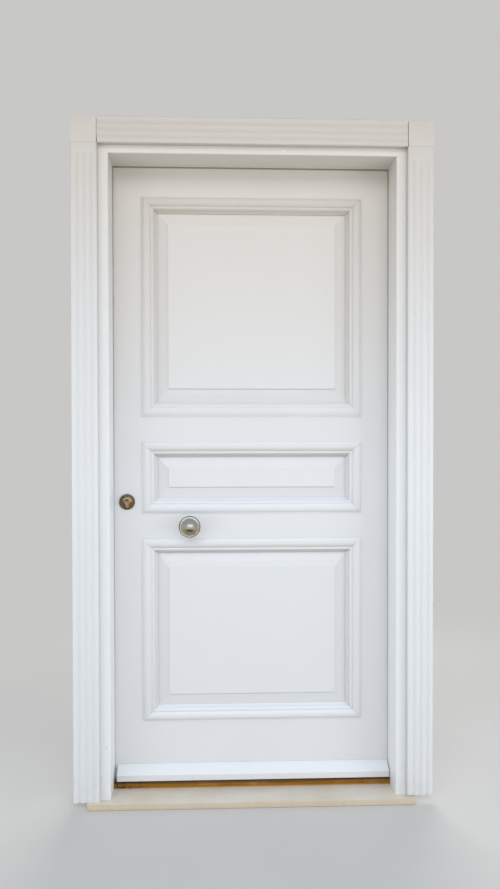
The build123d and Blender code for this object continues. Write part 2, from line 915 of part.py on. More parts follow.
with BuildPart() as knob:
    with BuildSketch(Plane((knob_x, leaf_face, knob_z), x_dir=(1, 0, 0), z_dir=(0, 0, -1))):
        with BuildLine():
            Polyline(
                (0, knob_projection),
                (0, 0),
                (knob_neck_radius, 0),
                (knob_neck_radius, knob_neck_length),
            )
            ThreePointArc(
                (knob_neck_radius, knob_neck_length),
                (knob_back_radius, knob_back_bow),
                (knob_rim_radius, knob_back),
            )
            ThreePointArc(
                (knob_rim_radius, knob_back),
                (knob_radius, (knob_back + knob_rim_front) / 2),
                (knob_rim_radius, knob_rim_front),
            )
            Line((knob_rim_radius, knob_rim_front), (knob_dome_edge, knob_dome_foot))
            ThreePointArc(
                (knob_dome_edge, knob_dome_foot),
                (knob_dome_edge / 2, knob_projection - knob_dome_drop),
                (0, knob_projection),
            )
        make_face()
    revolve(axis=Axis((knob_x, leaf_face, knob_z), (0, 1, 0)))
    rod(
        knob_x, knob_z, knob_bolt_radius + turning_clearance,
        leaf_face - knob_bolt_reach - turning_clearance, leaf_face,
        mode=Mode.SUBTRACT,
    )
save(knob.part, "knob")


def rose(x, z, radius, bore, thickness, face_y, outward):
    """A round backplate with a bevelled edge and a bore."""
    with BuildPart() as plate:
        with BuildSketch(Plane((x, face_y, z), x_dir=(1, 0, 0), z_dir=(0, 0, outward))):
            with BuildLine():
                Polyline(
                    (bore, thickness),
                    (bore, 0),
                    (radius, 0),
                    (radius, thickness - rose_bevel),
                    (radius - rose_bevel, thickness),
                    close=True,
                )
            make_face()
        revolve(axis=Axis((x, face_y, z), (0, 1, 0)))
    return plate.part


save(
    rose(
        knob_x, knob_z, knob_rose_radius, knob_neck_radius + turning_clearance,
        knob_rose_thickness, leaf_face, -1,
    ),
    "knob_rose",
)

with BuildPart() as knob_bolt:
    rod(knob_x, knob_z, knob_bolt_radius, leaf_face - knob_bolt_reach, leaf_back)
    rod(knob_x, knob_z, knob_bolt_head_radius, leaf_back, leaf_back + knob_bolt_head_height)
    head_rim = knob_bolt.edges().filter_by(GeomType.CIRCLE).group_by(Axis.Y)[-1]
    chamfer(head_rim, length=knob_bolt_head_height / 2)
save(knob_bolt.part, "knob_bolt")

# Lock: case, cover and faceplate in the edge of the lock stile

with BuildPart() as lock_case:
    block(
        case_front, case_back, case_outer_side, case_inner_side - case_wall, case_bottom, case_top,
    )
    block(
        case_front, case_back - case_wall,
        case_outer_side + case_wall, case_inner_side - case_wall,
        case_bottom + case_wall, case_top - case_wall,
        mode=Mode.SUBTRACT,
    )
    cut_euro(case_outer_side, case_inner_side, euro_clearance)
    rod(
        lock_x, follower_z, follower_radius + turning_clearance, case_outer_side, case_inner_side,
        mode=Mode.SUBTRACT,
    )
save(lock_case.part, "lock_case")

with BuildPart() as lock_cover:
    block(
        case_front, case_back, case_inner_side - case_wall, case_inner_side, case_bottom, case_top,
    )
    cut_euro(case_outer_side, case_inner_side, euro_clearance)
    rod(
        lock_x, follower_z, follower_radius + turning_clearance, case_outer_side, case_inner_side,
        mode=Mode.SUBTRACT,
    )
save(lock_cover.part, "lock_cover")


def bolt_apertures(x_low, x_high, margin):
    """Cut the two apertures that the deadbolt and the latch bolt pass through."""
    for bolt_z, bolt_height, _ in bolts:
        block(
            x_low, x_high,
            leaf_middle - bolt_thickness / 2 - margin, leaf_middle + bolt_thickness / 2 + margin,
            bolt_z - bolt_height / 2 - margin, bolt_z + bolt_height / 2 + margin,
            mode=Mode.SUBTRACT,
        )


with BuildPart() as faceplate:
    block(
        -leaf_edge, case_front,
        leaf_middle - faceplate_width / 2, leaf_middle + faceplate_width / 2,
        faceplate_z - faceplate_height / 2, faceplate_z + faceplate_height / 2,
    )
    bolt_apertures(-leaf_edge, case_front, bolt_clearance)
    screw_seats(-leaf_edge, 1, leaf_middle, faceplate_screw_levels)
    screw_seats(
        -leaf_edge, 1, leaf_middle, [cylinder_screw_z], cylinder_screw_radius, cylinder_screw_length,
    )
save(faceplate.part, "faceplate")

with BuildPart() as deadbolt:
    block(
        -leaf_edge, deadbolt_length - leaf_edge,
        leaf_middle - bolt_thickness / 2, leaf_middle + bolt_thickness / 2,
        deadbolt_z - deadbolt_height / 2, deadbolt_z + deadbolt_height / 2,
    )
    chamfer(deadbolt.faces().sort_by(Axis.X)[0].edges(), length=bolt_chamfer)
save(deadbolt.part, "deadbolt")

with BuildPart() as latch_bolt:
    with BuildSketch(Plane.XY.offset(latch_z - latch_height / 2)):
        with BuildLine():
            Polyline(
                (-leaf_edge, leaf_middle + bolt_thickness / 2),
                (latch_length - leaf_edge, leaf_middle + bolt_thickness / 2),
                (latch_length - leaf_edge, leaf_middle - bolt_thickness / 2),
                (latch_bevel - leaf_edge, leaf_middle - bolt_thickness / 2),
                (-leaf_edge, leaf_middle + bolt_thickness / 2 - latch_tip),
                close=True,
            )
        make_face()
    extrude(amount=latch_height)
save(latch_bolt.part, "latch_bolt")

# Lock cylinder: two halves joined by a bridge under the cam

cylinder_front = leaf_face - cylinder_proud
cylinder_back = leaf_back + cylinder_proud
with BuildPart() as cylinder_body:
    with BuildSketch(Plane((lock_x, cylinder_back, cylinder_z), x_dir=(1, 0, 0), z_dir=(0, -1, 0))):
        euro_outline(0)
    extrude(amount=cylinder_back - cylinder_front)
    block(
        lock_x - 2 * barrel_radius, lock_x + 2 * barrel_radius,
        cam_front, cam_back,
        cylinder_z - cam_radius - cam_clearance, cylinder_z + 2 * barrel_radius,
        mode=Mode.SUBTRACT,
    )
    rod(
        lock_x, cylinder_z, plug_radius + turning_clearance, cylinder_front, cylinder_back,
        mode=Mode.SUBTRACT,
    )
    drill_x(
        lock_x - web_width, lock_x + web_width, leaf_middle, [cylinder_screw_z],
        cylinder_screw_radius + screw_clearance,
    )
save(cylinder_body.part, "cylinder_body")

with BuildPart() as key_plug:
    rod(lock_x, cylinder_z, plug_radius, cylinder_front, cam_front - cam_clearance)
    block(
        lock_x - keyway_width / 2, lock_x + keyway_width / 2,
        cylinder_front, cylinder_front + keyway_depth,
        cylinder_z - keyway_height / 2, cylinder_z + keyway_height / 2,
        mode=Mode.SUBTRACT,
    )
save(key_plug.part, "key_plug")

with BuildPart() as thumb_turn:
    rod(lock_x, cylinder_z, plug_radius, cam_front + cam_clearance, thumb_foot)
    cam_plane = Plane((lock_x, cam_back - cam_clearance, cylinder_z), x_dir=(1, 0, 0), z_dir=(0, -1, 0))
    with BuildSketch(cam_plane):
        with Locations((0, -cam_radius / 2)):
            Rectangle(cam_width, cam_radius)
        Circle(cam_radius, mode=Mode.INTERSECT)
    extrude(amount=cam_gap - 2 * cam_clearance)
    with BuildSketch(Plane((lock_x, thumb_foot, cylinder_z), x_dir=(-1, 0, 0), z_dir=(0, 1, 0))):
        SlotOverall(thumb_width, thumb_thickness, rotation=90)
    extrude(amount=thumb_length)
    chamfer(thumb_turn.faces().sort_by(Axis.Y)[-1].edges(), length=thumb_bevel)
save(thumb_turn.part, "thumb_turn")

with BuildPart() as cylinder_screw:
    add(
        screws(
            -leaf_edge, 1, leaf_middle, [cylinder_screw_z], cylinder_screw_radius, cylinder_screw_length,
        )
    )
save(cylinder_screw.part, "cylinder_screw")


def escutcheon(face_y, outward):
    """A round cover with the keyhole shape of the cylinder through it."""
    with BuildPart() as cover:
        add(rose(lock_x, cylinder_z, escutcheon_radius, 0, escutcheon_thickness, face_y, outward))
        cut_euro(face_y - escutcheon_thickness, face_y + escutcheon_thickness, euro_clearance)
    return cover.part


save(escutcheon(leaf_face, -1), "outside_escutcheon")
save(escutcheon(leaf_back, 1), "inside_escutcheon")

# Inside lever on its rose, with the square spindle that turns the follower

save(
    rose(
        lock_x, follower_z, lever_rose_radius, lever_neck_radius + turning_clearance,
        lever_rose_thickness, leaf_back, 1,
    ),
    "lever_rose",
)

lever_back = leaf_back + lever_projection
with BuildPart() as inside_lever:
    with BuildSketch(Plane((lock_x, case_outer_side, follower_z), x_dir=(-1, 0, 0), z_dir=(0, 1, 0))):
        Rectangle(spindle_size, spindle_size)
    extrude(amount=leaf_back - case_outer_side)
    rod(lock_x, follower_z, lever_neck_radius, leaf_back, lever_back)
    with BuildSketch(Plane((lock_x, lever_back, follower_z), x_dir=(1, 0, 0), z_dir=(0, -1, 0))):
        with Locations((lever_length / 2 - lever_height / 2, 0)):
            SlotOverall(lever_length, lever_height)
    extrude(amount=lever_thickness)
    grip_edges = inside_lever.faces().filter_by(Axis.Y).group_by(Axis.Y)[-1].edges()
    fillet(grip_edges, radius=lever_round)
save(inside_lever.part, "inside_lever")

with BuildPart() as lock_follower:
    rod(lock_x, follower_z, follower_radius, case_outer_side, case_inner_side)
    block(
        lock_x - spindle_size / 2 - turning_clearance, lock_x + spindle_size / 2 + turning_clearance,
        case_outer_side, case_inner_side,
        follower_z - spindle_size / 2 - turning_clearance, follower_z + spindle_size / 2 + turning_clearance,
        mode=Mode.SUBTRACT,
    )
save(lock_follower.part, "lock_follower")

# Strike plate in the left jamb

with BuildPart() as strike_plate:
    block(
        -rebate_x - strike_thickness, -rebate_x, strike_front, strike_back, strike_bottom, strike_top,
    )
    bolt_apertures(-rebate_x - strike_thickness, -rebate_x, strike_bolt_margin)
    for level in strike_screw_levels:
        with BuildSketch(Plane((0, strike_screw_y, level))) as seat:
            with BuildLine():
                Polyline(
                    (-rebate_x, 0),
                    (-rebate_x, screw_head_radius + screw_clearance),
                    (-rebate_x - screw_head_depth, screw_radius + screw_clearance),
                    (-rebate_x - strike_thickness - screw_clearance, screw_radius + screw_clearance),
                    (-rebate_x - strike_thickness - screw_clearance, 0),
                    close=True,
                )
            make_face()
        revolve(seat.sketch, axis=Axis((0, strike_screw_y, level), (1, 0, 0)), mode=Mode.SUBTRACT)
save(strike_plate.part, "strike_plate")

# Butt hinges: the frame's leaf has the odd knuckles, the door's leaf the even ones

knuckle_length = (hinge_height - (knuckle_count - 1) * knuckle_gap) / knuckle_count


def hinge_half(level, plate_x, first_knuckle):
    """One half of a butt hinge: a plate and every second knuckle of the barrel."""
    bottom = level - hinge_height / 2
    with BuildPart() as half:
        block(
            plate_x, plate_x + hinge_plate_thickness, hinge_plate_edge, pin_y,
            bottom, bottom + hinge_height,
        )
        for step in range(knuckle_count):
            start = bottom + step * (knuckle_length + knuckle_gap)
            if step % 2 != first_knuckle:
                with BuildSketch(Plane.XY.offset(start - knuckle_gap)):
                    with Locations((pin_x, pin_y)):
                        Circle(knuckle_radius + knuckle_gap)
                extrude(amount=knuckle_length + 2 * knuckle_gap, mode=Mode.SUBTRACT)
        for step in range(first_knuckle, knuckle_count, 2):
            start = bottom + step * (knuckle_length + knuckle_gap)
            with BuildSketch(Plane.XY.offset(start)):
                with Locations((pin_x, pin_y)):
                    Circle(knuckle_radius)
            extrude(amount=knuckle_length)
        with BuildSketch(Plane.XY.offset(bottom)):
            with Locations((pin_x, pin_y)):
                Circle(pin_radius + turning_clearance)
        extrude(amount=hinge_height, mode=Mode.SUBTRACT)
    return half.part


def drilled_hinge_half(level, plate_x, first_knuckle, face_x, inward):
    """A hinge half with its countersunk screw holes."""
    levels = [level + step * hinge_screw_spacing for step in hinge_screw_steps]
    with BuildPart() as drilled:
        add(hinge_half(level, plate_x, first_knuckle))
        screw_seats(face_x, inward, hinge_screw_y, levels)
    return drilled.part


for place, level in zip(("lower", "middle", "upper"), hinge_levels):
    save(drilled_hinge_half(level, rebate_x, 0, rebate_x, 1), f"{place}_frame_hinge")
    save(
        drilled_hinge_half(level, leaf_edge - hinge_plate_thickness, 1, leaf_edge, -1),
        f"{place}_leaf_hinge",
    )

# Hinge pins, all alike

with BuildPart() as hinge_pins:
    for level in hinge_levels:
        for start, radius, length in (
            (level - hinge_height / 2, pin_radius, hinge_height),
            (level + hinge_height / 2, pin_head_radius, pin_head_height),
        ):
            with BuildSketch(Plane.XY.offset(start)):
                with Locations((pin_x, pin_y)):
                    Circle(radius)
            extrude(amount=length)
save(hinge_pins.part, "hinge_pins")

# Wood screws, all alike: in the frame for hinges and strike, in the leaf for hinges and faceplate

with BuildPart() as frame_screws:
    add(screws(rebate_x, 1, hinge_screw_y, hinge_screw_levels))
    add(screws(-rebate_x, -1, strike_screw_y, strike_screw_levels))
save(frame_screws.part, "frame_screws")

with BuildPart() as leaf_screws:
    add(screws(leaf_edge, -1, hinge_screw_y, hinge_screw_levels))
    add(screws(-leaf_edge, 1, leaf_middle, faceplate_screw_levels))
save(leaf_screws.part, "leaf_screws")
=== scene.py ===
import json
import math

import bmesh
import bpy
from mathutils import Matrix, Vector


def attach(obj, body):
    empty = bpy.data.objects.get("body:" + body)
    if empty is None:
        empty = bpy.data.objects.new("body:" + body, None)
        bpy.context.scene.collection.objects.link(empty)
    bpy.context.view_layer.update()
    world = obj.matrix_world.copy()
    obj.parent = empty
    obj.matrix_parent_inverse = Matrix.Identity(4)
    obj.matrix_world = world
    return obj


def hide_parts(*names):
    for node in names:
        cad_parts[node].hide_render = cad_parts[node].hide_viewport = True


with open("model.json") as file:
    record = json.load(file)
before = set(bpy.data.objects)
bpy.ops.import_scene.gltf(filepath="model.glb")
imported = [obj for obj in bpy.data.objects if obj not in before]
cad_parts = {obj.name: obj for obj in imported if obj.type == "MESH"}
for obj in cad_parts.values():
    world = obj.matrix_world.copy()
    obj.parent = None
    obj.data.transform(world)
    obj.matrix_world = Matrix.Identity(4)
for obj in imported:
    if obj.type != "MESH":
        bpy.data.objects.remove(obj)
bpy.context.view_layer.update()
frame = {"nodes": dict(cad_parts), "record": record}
nodes = frame["nodes"]
nodeSlot = {row["node"]: row["material_slot"] for row in frame["record"]["subparts"]}
bodyNodes = frame["record"]["behaviour"]["bodies"]
nodeBody = {name: body for body, names in bodyNodes.items() for name in names}
print("frame loaded with", len(nodes), "nodes")


# Helpers for node trees

def feed(tree, source, socket):
    # a socket is linked, anything else becomes the socket's own value
    if isinstance(source, bpy.types.NodeSocket):
        tree.links.new(source, socket)
    elif source is not None:
        socket.default_value = source


def addNode(tree, kind, place, inputs=None, **settings):
    node = tree.nodes.new(kind)
    node.location = place
    for key, value in settings.items():
        setattr(node, key, value)
    for key, value in (inputs or {}).items():
        feed(tree, value, node.inputs[key])
    return node


def mixColours(tree, place, share, first, second):
    mix = addNode(tree, "ShaderNodeMix", place, {0: share, 6: first, 7: second}, data_type="RGBA")
    return mix.outputs[2]


def compute(tree, place, operation, first, second=None):
    return addNode(tree, "ShaderNodeMath", place, {0: first, 1: second}, operation=operation).outputs[0]


def product(tree, place, first, *others):
    for step, other in enumerate(others):
        first = compute(tree, (place[0] + 80 * step, place[1]), "MULTIPLY", first, other)
    return first


def spread(tree, place, value, low, high, newLow=0.0, newHigh=1.0):
    # low to high becomes newLow to newHigh, and nothing goes past those two
    return addNode(tree, "ShaderNodeMapRange", place, {
        "Value": value, "From Min": low, "From Max": high, "To Min": newLow, "To Max": newHigh,
    }).outputs["Result"]


def layer(tree, place, under, over, mask, share):
    # a second colour over the first, where its mask is and as thick as its share
    return mixColours(tree, place, product(tree, (place[0] - 160, place[1] + 160), mask, share), under, over)


def axes(tree, place, vector):
    return addNode(tree, "ShaderNodeSeparateXYZ", place, {"Vector": vector}).outputs


def stretch(tree, place, vector, factors):
    scaled = addNode(tree, "ShaderNodeVectorMath", place, {0: vector, 1: factors}, operation="MULTIPLY")
    return scaled.outputs[0]


def noise(tree, place, vector, scale, detail=3.0, roughness=0.5, distortion=0.0, **settings):
    return addNode(tree, "ShaderNodeTexNoise", place, {
        "Vector": vector, "Scale": scale, "Detail": detail, "Roughness": roughness, "Distortion": distortion,
    }, **settings).outputs["Fac"]


def newGroup(name, inputs, outputs, kind="ShaderNodeTree"):
    # the new tree, the sockets that are given to it and the sockets of its results
    tree = bpy.data.node_groups.new(name, kind)
    for label, (socketKind, value) in inputs.items():
        socket = tree.interface.new_socket(label, in_out="INPUT", socket_type=socketKind)
        if value is not None:
            socket.default_value = value
    for label, socketKind in outputs.items():
        tree.interface.new_socket(label, in_out="OUTPUT", socket_type=socketKind)
    given = addNode(tree, "NodeGroupInput", (-1600, 0)).outputs
    results = addNode(tree, "NodeGroupOutput", (1400, 0)).inputs
    return tree, given, results


def useGroup(tree, group, place, inputs):
    return addNode(tree, "ShaderNodeGroup", place, inputs, node_tree=group).outputs


colourIn, floatIn, vectorIn = "NodeSocketColor", "NodeSocketFloat", "NodeSocketVector"
wholeIn, meshIn, materialIn = "NodeSocketInt", "NodeSocketGeometry", "NodeSocketMaterial"


# Shared effects

def makeTintGroup():
    # a broad drift of one colour towards another, as in old paint or tarnish
    tree, given, results = newGroup("colourDrift", {
        "Vector": (vectorIn, None), "Base": (colourIn, (0.8, 0.8, 0.8, 1)),
        "Tint": (colourIn, (0.7, 0.7, 0.7, 1)), "Scale": (floatIn, 2.0), "Amount": (floatIn, 0.5),
    }, {"Color": colourIn, "Mask": floatIn})
    broad = noise(tree, (-900, 200), given["Vector"], given["Scale"], detail=4.0, roughness=0.55)
    mask = spread(tree, (-600, 200), broad, low=0.35, high=0.68)
    feed(tree, layer(tree, (0, 0), given["Base"], given["Tint"], mask, given["Amount"]), results["Color"])
    feed(tree, mask, results["Mask"])
    return tree


def makeBrushGroup():
    # brush strokes along the grain over a fine orange peel, as a height
    tree, given, results = newGroup("brushedFilm", {
        "Vector": (vectorIn, None), "Along": (vectorIn, (1, 1, 0.03)),
        "Strokes": (floatIn, 220.0), "Peel": (floatIn, 900.0), "Stroke Share": (floatIn, 0.7),
    }, {"Height": floatIn})
    grain = stretch(tree, (-900, 200), given["Vector"], given["Along"])
    strokes = noise(tree, (-600, 200), grain, given["Strokes"], detail=2.0, roughness=0.6)
    peel = noise(tree, (-600, -100), given["Vector"], given["Peel"], detail=1.0)
    peelShare = compute(tree, (-300, -100), "SUBTRACT", 1.0, given["Stroke Share"])
    first = product(tree, (-300, 200), strokes, given["Stroke Share"])
    second = product(tree, (-100, -100), peel, peelShare)
    feed(tree, compute(tree, (100, 100), "ADD", first, second), results["Height"])
    return tree


def makeDustGroup():
    # splash and dust that thins out with height above the ground, in broken patches
    tree, given, results = newGroup("groundDust", {
        "Vector": (vectorIn, None), "Color": (colourIn, (0.8, 0.8, 0.8, 1)),
        "Dust": (colourIn, (0.4, 0.33, 0.24, 1)), "Foot": (floatIn, 0.0), "Reach": (floatIn, 0.1),
        "Falloff": (floatIn, 2.2), "Amount": (floatIn, 0.3), "Scale": (floatIn, 40.0),
    }, {"Color": colourIn})
    height = axes(tree, (-900, 200), given["Vector"])["Z"]
    above = compute(tree, (-700, 200), "SUBTRACT", height, given["Foot"])
    near = spread(tree, (-500, 200), above, low=given["Reach"], high=0.0)
    patch = noise(tree, (-700, -150), given["Vector"], given["Scale"], detail=5.0, roughness=0.62)
    broken = spread(tree, (-400, -150), patch, low=0.38, high=0.66)
    mask = product(tree, (-50, 150), compute(tree, (-300, 200), "POWER", near, given["Falloff"]), broken)
    feed(tree, layer(tree, (350, 0), given["Color"], given["Dust"], mask, given["Amount"]), results["Color"])
    return tree


def makeMetalGroup():
    # handled metal: cloudy tarnish and fine scratches along one direction
    tree, given, results = newGroup("handledMetal", {
        "Vector": (vectorIn, None), "Clean": (colourIn, (0.6, 0.6, 0.6, 1)),
        "Tarnish": (colourIn, (0.3, 0.3, 0.3, 1)), "Clouds": (floatIn, 60.0),
        "Amount": (floatIn, 0.5), "Scratches": (vectorIn, (600, 600, 60)),
        "Roughness Low": (floatIn, 0.25), "Roughness High": (floatIn, 0.45),
    }, {"Color": colourIn, "Roughness": floatIn, "Height": floatIn})
    clouds = noise(
        tree, (-900, 300), given["Vector"], given["Clouds"], detail=6.0, roughness=0.6, distortion=0.4)
    mask = spread(tree, (-600, 300), clouds, low=0.36, high=0.66)
    scratched = stretch(tree, (-900, 0), given["Vector"], given["Scratches"])
    lines = noise(tree, (-600, 0), scratched, scale=1.0, detail=2.0, roughness=0.7)
    both = product(tree, (-300, -150), compute(tree, (-450, -150), "ADD", mask, lines), 0.5)
    rough = spread(tree, (-150, 0), both, 0.0, 1.0, given["Roughness Low"], given["Roughness High"])
    colour = layer(tree, (0, 300), given["Clean"], given["Tarnish"], mask, given["Amount"])
    feed(tree, colour, results["Color"])
    feed(tree, rough, results["Roughness"])
    feed(tree, lines, results["Height"])
    return tree


def makeRoundGroup():
    # where a point lies on a round piece whose axis runs along Y: out from the axis, above it and
    # to its side, the last also without its sign
    tree, given, results = newGroup("roundPlace", {
        "Vector": (vectorIn, None), "Centre X": (floatIn, 0.0), "Centre Z": (floatIn, 0.0),
    }, {"Reach": floatIn, "Above": floatIn, "Across": floatIn, "Aside": floatIn})
    place = axes(tree, (-900, 0), given["Vector"])
    across = compute(tree, (-700, 150), "SUBTRACT", place["X"], given["Centre X"])
    above = compute(tree, (-700, -50), "SUBTRACT", place["Z"], given["Centre Z"])
    level = product(tree, (-500, 150), across, across)
    upright = product(tree, (-500, -50), above, above)
    reach = compute(tree, (-100, 100), "SQRT", compute(tree, (-300, 100), "ADD", level, upright))
    feed(tree, reach, results["Reach"])
    feed(tree, above, results["Above"])
    feed(tree, across, results["Across"])
    feed(tree, compute(tree, (-500, 350), "ABSOLUTE", across), results["Aside"])
    return tree


def makeFieldShadowGroup():
    # a painted shadow line just below the lower edge of a raised field, on the outside face only
    tree, given, results = newGroup("fieldFootShadow", {
        "Vector": (vectorIn, None), "Left": (floatIn, -0.1), "Right": (floatIn, 0.1), "Foot": (floatIn, 0.0),
        "Begin": (floatIn, 0.0), "End": (floatIn, 0.003), "Front": (floatIn, 0.1),
    }, {"Mask": floatIn})
    place = axes(tree, (-900, 0), given["Vector"])
    below = compute(tree, (-700, 200), "SUBTRACT", given["Foot"], place["Z"])
    mask = product(
        tree, (-300, 0),
        compute(tree, (-500, 300), "GREATER_THAN", below, given["Begin"]),
        compute(tree, (-500, 150), "LESS_THAN", below, given["End"]),
        compute(tree, (-500, 0), "GREATER_THAN", place["X"], given["Left"]),
        compute(tree, (-500, -150), "LESS_THAN", place["X"], given["Right"]),
        compute(tree, (-500, -300), "LESS_THAN", place["Y"], given["Front"]),
    )
    feed(tree, mask, results["Mask"])
    return tree


tintGroup = makeTintGroup()
brushGroup = makeBrushGroup()
dustGroup = makeDustGroup()
metalGroup = makeMetalGroup()
roundGroup = makeRoundGroup()
fieldShadowGroup = makeFieldShadowGroup()
print("shared effects built")


# Materials

def newMaterial(name):
    material = bpy.data.materials.new(name)
    material.use_nodes = True
    tree = material.node_tree
    shader = tree.nodes["Principled BSDF"]
    shader.location = (700, 0)
    tree.nodes["Material Output"].location = (1000, 0)
    place = addNode(tree, "ShaderNodeTexCoord", (-1300, 0)).outputs["Object"]
    return material, tree, shader, place


def setSurface(tree, shader, colour, roughness, height, bump):
    # bump is its strength and its height in metres
    feed(tree, colour, shader.inputs["Base Color"])
    feed(tree, roughness, shader.inputs["Roughness"])
    relief = addNode(tree, "ShaderNodeBump", (400, -400), {
        "Strength": bump[0], "Distance": bump[1], "Height": height,
    })
    feed(tree, relief.outputs["Normal"], shader.inputs["Normal"])


def facingAlong(tree, place, axis):
    # how far a face is turned towards an axis of its object, from -1 to 1
    facing = addNode(tree, "ShaderNodeTexCoord", place).outputs["Normal"]
    return axes(tree, (place[0] + 150, place[1]), facing)[axis]


paint = {
    "driftScale": 1.6, "driftShare": 0.55,
    "headShadeHeights": (0.95, 2.14),  # the heights between which painted shade darkens and warms the paint towards the head
    "splash": (0.45, 0.40, 0.33, 1), "splashReach": 0.16, "splashScale": 45.0,
    "patches": 9.0, "patchEdges": (0.3, 0.7), "roughness": (0.34, 0.46), "bump": (0.35, 0.00005),
    "upright": (1, 1, 0.03), "level": (0.03, 1, 1),  # brushed up and down, or from side to side
}
# in each coat, the colour towards the head is painted shade, darker and warmer
coats = {
    "casing": {
        "white": (0.69, 0.70, 0.72, 1), "drift": (0.67, 0.67, 0.67, 1),
        "paintedHeadShade": (0.51, 0.45, 0.39, 1), "share": 0.9, "rise": 1.35,
        "splash": 0.25, "foot": 0.02,
    },
    "lining": {
        "white": (0.73, 0.74, 0.755, 1), "drift": (0.71, 0.71, 0.71, 1),
        "paintedHeadShade": (0.61, 0.565, 0.505, 1), "share": 1.0, "rise": 1.35,
        "splash": 0.25, "foot": 0.02,
        # painted light: the sides of the opening are painted whiter
        "paintedRevealLight": {"colour": (0.87, 0.875, 0.885, 1), "turned": (0.6, 0.8), "share": 1.0},
    },
    "leaf": {
        "white": (0.67, 0.67, 0.688, 1), "drift": (0.655, 0.655, 0.66, 1),
        "paintedHeadShade": (0.56, 0.495, 0.415, 1), "share": 0.85, "rise": 1.05,
        # the last value is the share of painted shade on faces that look down
        "splash": 0.15, "foot": 0.03, "paintedShade": 0.45,
        # painted shade on the side bevels of the raised panels
        "bevel": {"colour": (0.42, 0.40, 0.38, 1), "turned": (0.04, 0.12), "share": 0.14},
    },
    # the top moulding gets a fuller painted shade towards the head, as the head's shade falls on it
    "topMoulding": {
        "white": (0.67, 0.665, 0.675, 1), "drift": (0.655, 0.65, 0.65, 1),
        "paintedHeadShade": (0.505, 0.445, 0.375, 1), "share": 1.0, "rise": 1.35,
        "splash": 0.0, "foot": 0.02, "paintedShade": 0.0,
    },
}


def addSideShading(tree, place, colour, tone):
    # painted light or shade in another tone on the faces that are turned to the left or the right
    sideways = compute(tree, (place[0] + 300, place[1]), "ABSOLUTE", facingAlong(tree, place, "X"))
    turned = spread(tree, (place[0] + 450, place[1]), sideways, *tone["turned"])
    return layer(tree, (place[0] + 750, place[1]), colour, tone["colour"], turned, tone["share"])


# painted shade on faces turned down, and painted sky light on faces turned up
ledges = {
    "down": (-0.1, -0.7), "underside": (0.40, 0.345, 0.285, 1),  # how far a face is turned down or up
    "up": (0.1, 0.7), "paintedSkyLight": (0.80, 0.83, 0.88, 1), "share": 0.65,
    "rain": (2.0, 1.0),  # the heights where the painted sky light on upward faces begins and is full
}


def addLedgeShading(tree, place, colour, paintedShade):
    # painted shade on the faces that look down, and painted sky light on those that look up, more so low
    # down
    up = facingAlong(tree, (-200, 1300), "Z")
    under = spread(tree, (150, 1300), up, *ledges["down"])
    colour = layer(tree, (500, 1300), colour, ledges["underside"], under, paintedShade)
    rain = spread(tree, (150, 1000), axes(tree, (0, 1000), place)["Z"], *ledges["rain"])
    paintedSkyLight = product(tree, (300, 1100), spread(tree, (150, 1100), up, *ledges["up"]), rain)
    return layer(tree, (500, 1100), colour, ledges["paintedSkyLight"], paintedSkyLight, ledges["share"])


# a painted shadow line where the stops meet the leaf
gapShadowLine = {
    "side": (0.4478, 0.4500), "head": (2.0310, 2.0340),  # where the stops begin to cover the leaf
    "front": 0.1, "height": (0.0, 2.03), "strength": (0.05, 0.85), "colour": (0.20, 0.19, 0.15, 1),
}


def addGapShadow(tree, place, colour):
    # a painted shadow line on the leaf where the stops meet it, weaker towards the foot
    parts = axes(tree, (-200, 600), place)
    side = spread(tree, (0, 700), compute(tree, (-100, 700), "ABSOLUTE", parts["X"]), *gapShadowLine["side"])
    head = spread(tree, (0, 550), parts["Z"], *gapShadowLine["head"])
    line = compute(tree, (150, 600), "MAXIMUM", side, head)
    front = compute(tree, (0, 850), "LESS_THAN", parts["Y"], gapShadowLine["front"])
    strength = spread(tree, (150, 850), parts["Z"], *gapShadowLine["height"], *gapShadowLine["strength"])
    outside = product(tree, (250, 600), line, front)
    return layer(tree, (500, 500), colour, gapShadowLine["colour"], outside, strength)


# a painted shadow line at the foot of each raised field; the depths also move the field's edges
fieldLine = {
    "begin": -0.0002, "end": 0.0034, "front": 0.112,  # below the edge, and in front of this depth
    "share": 0.42, "colour": (0.32, 0.31, 0.29, 1),
    "faceDepth": 0.0005, "stepDepth": 0.0025,  # the field's own face, and its face with the step round it
}
# how far the lower and the upper edge of each raised field is moved from the solid's
fieldShift = {"top_panel": (0.006, 0.0), "middle_panel": (0.0, 0.0), "bottom_panel": (0.0, -0.010)}


def fieldEdge(node):
    # the left end, the right end and the height of a raised field's lower edge
    corners = [corner.co for corner in nodes[node].data.vertices]
    front = min(corner.y for corner in corners) + fieldLine["faceDepth"]
    face = [corner for corner in corners if corner.y < front]
    foot = min(corner.z for corner in face) + fieldShift[node][0]
    return min(corner.x for corner in face), max(corner.x for corner in face), foot


def addFieldShadows(tree, place, colour):
    # the painted shadow line at the foot of each panel's raised field
    for index, node in enumerate(fieldShift):
        left, right, foot = fieldEdge(node)
        height = 1600 + 200 * index
        line = useGroup(tree, fieldShadowGroup, (300, height), {
            "Vector": place, "Left": left, "Right": right, "Foot": foot,
            "Begin": fieldLine["begin"], "End": fieldLine["end"], "Front": fieldLine["front"],
        })
        colour = layer(tree, (700, height), colour, fieldLine["colour"], line["Mask"], fieldLine["share"])
    return colour


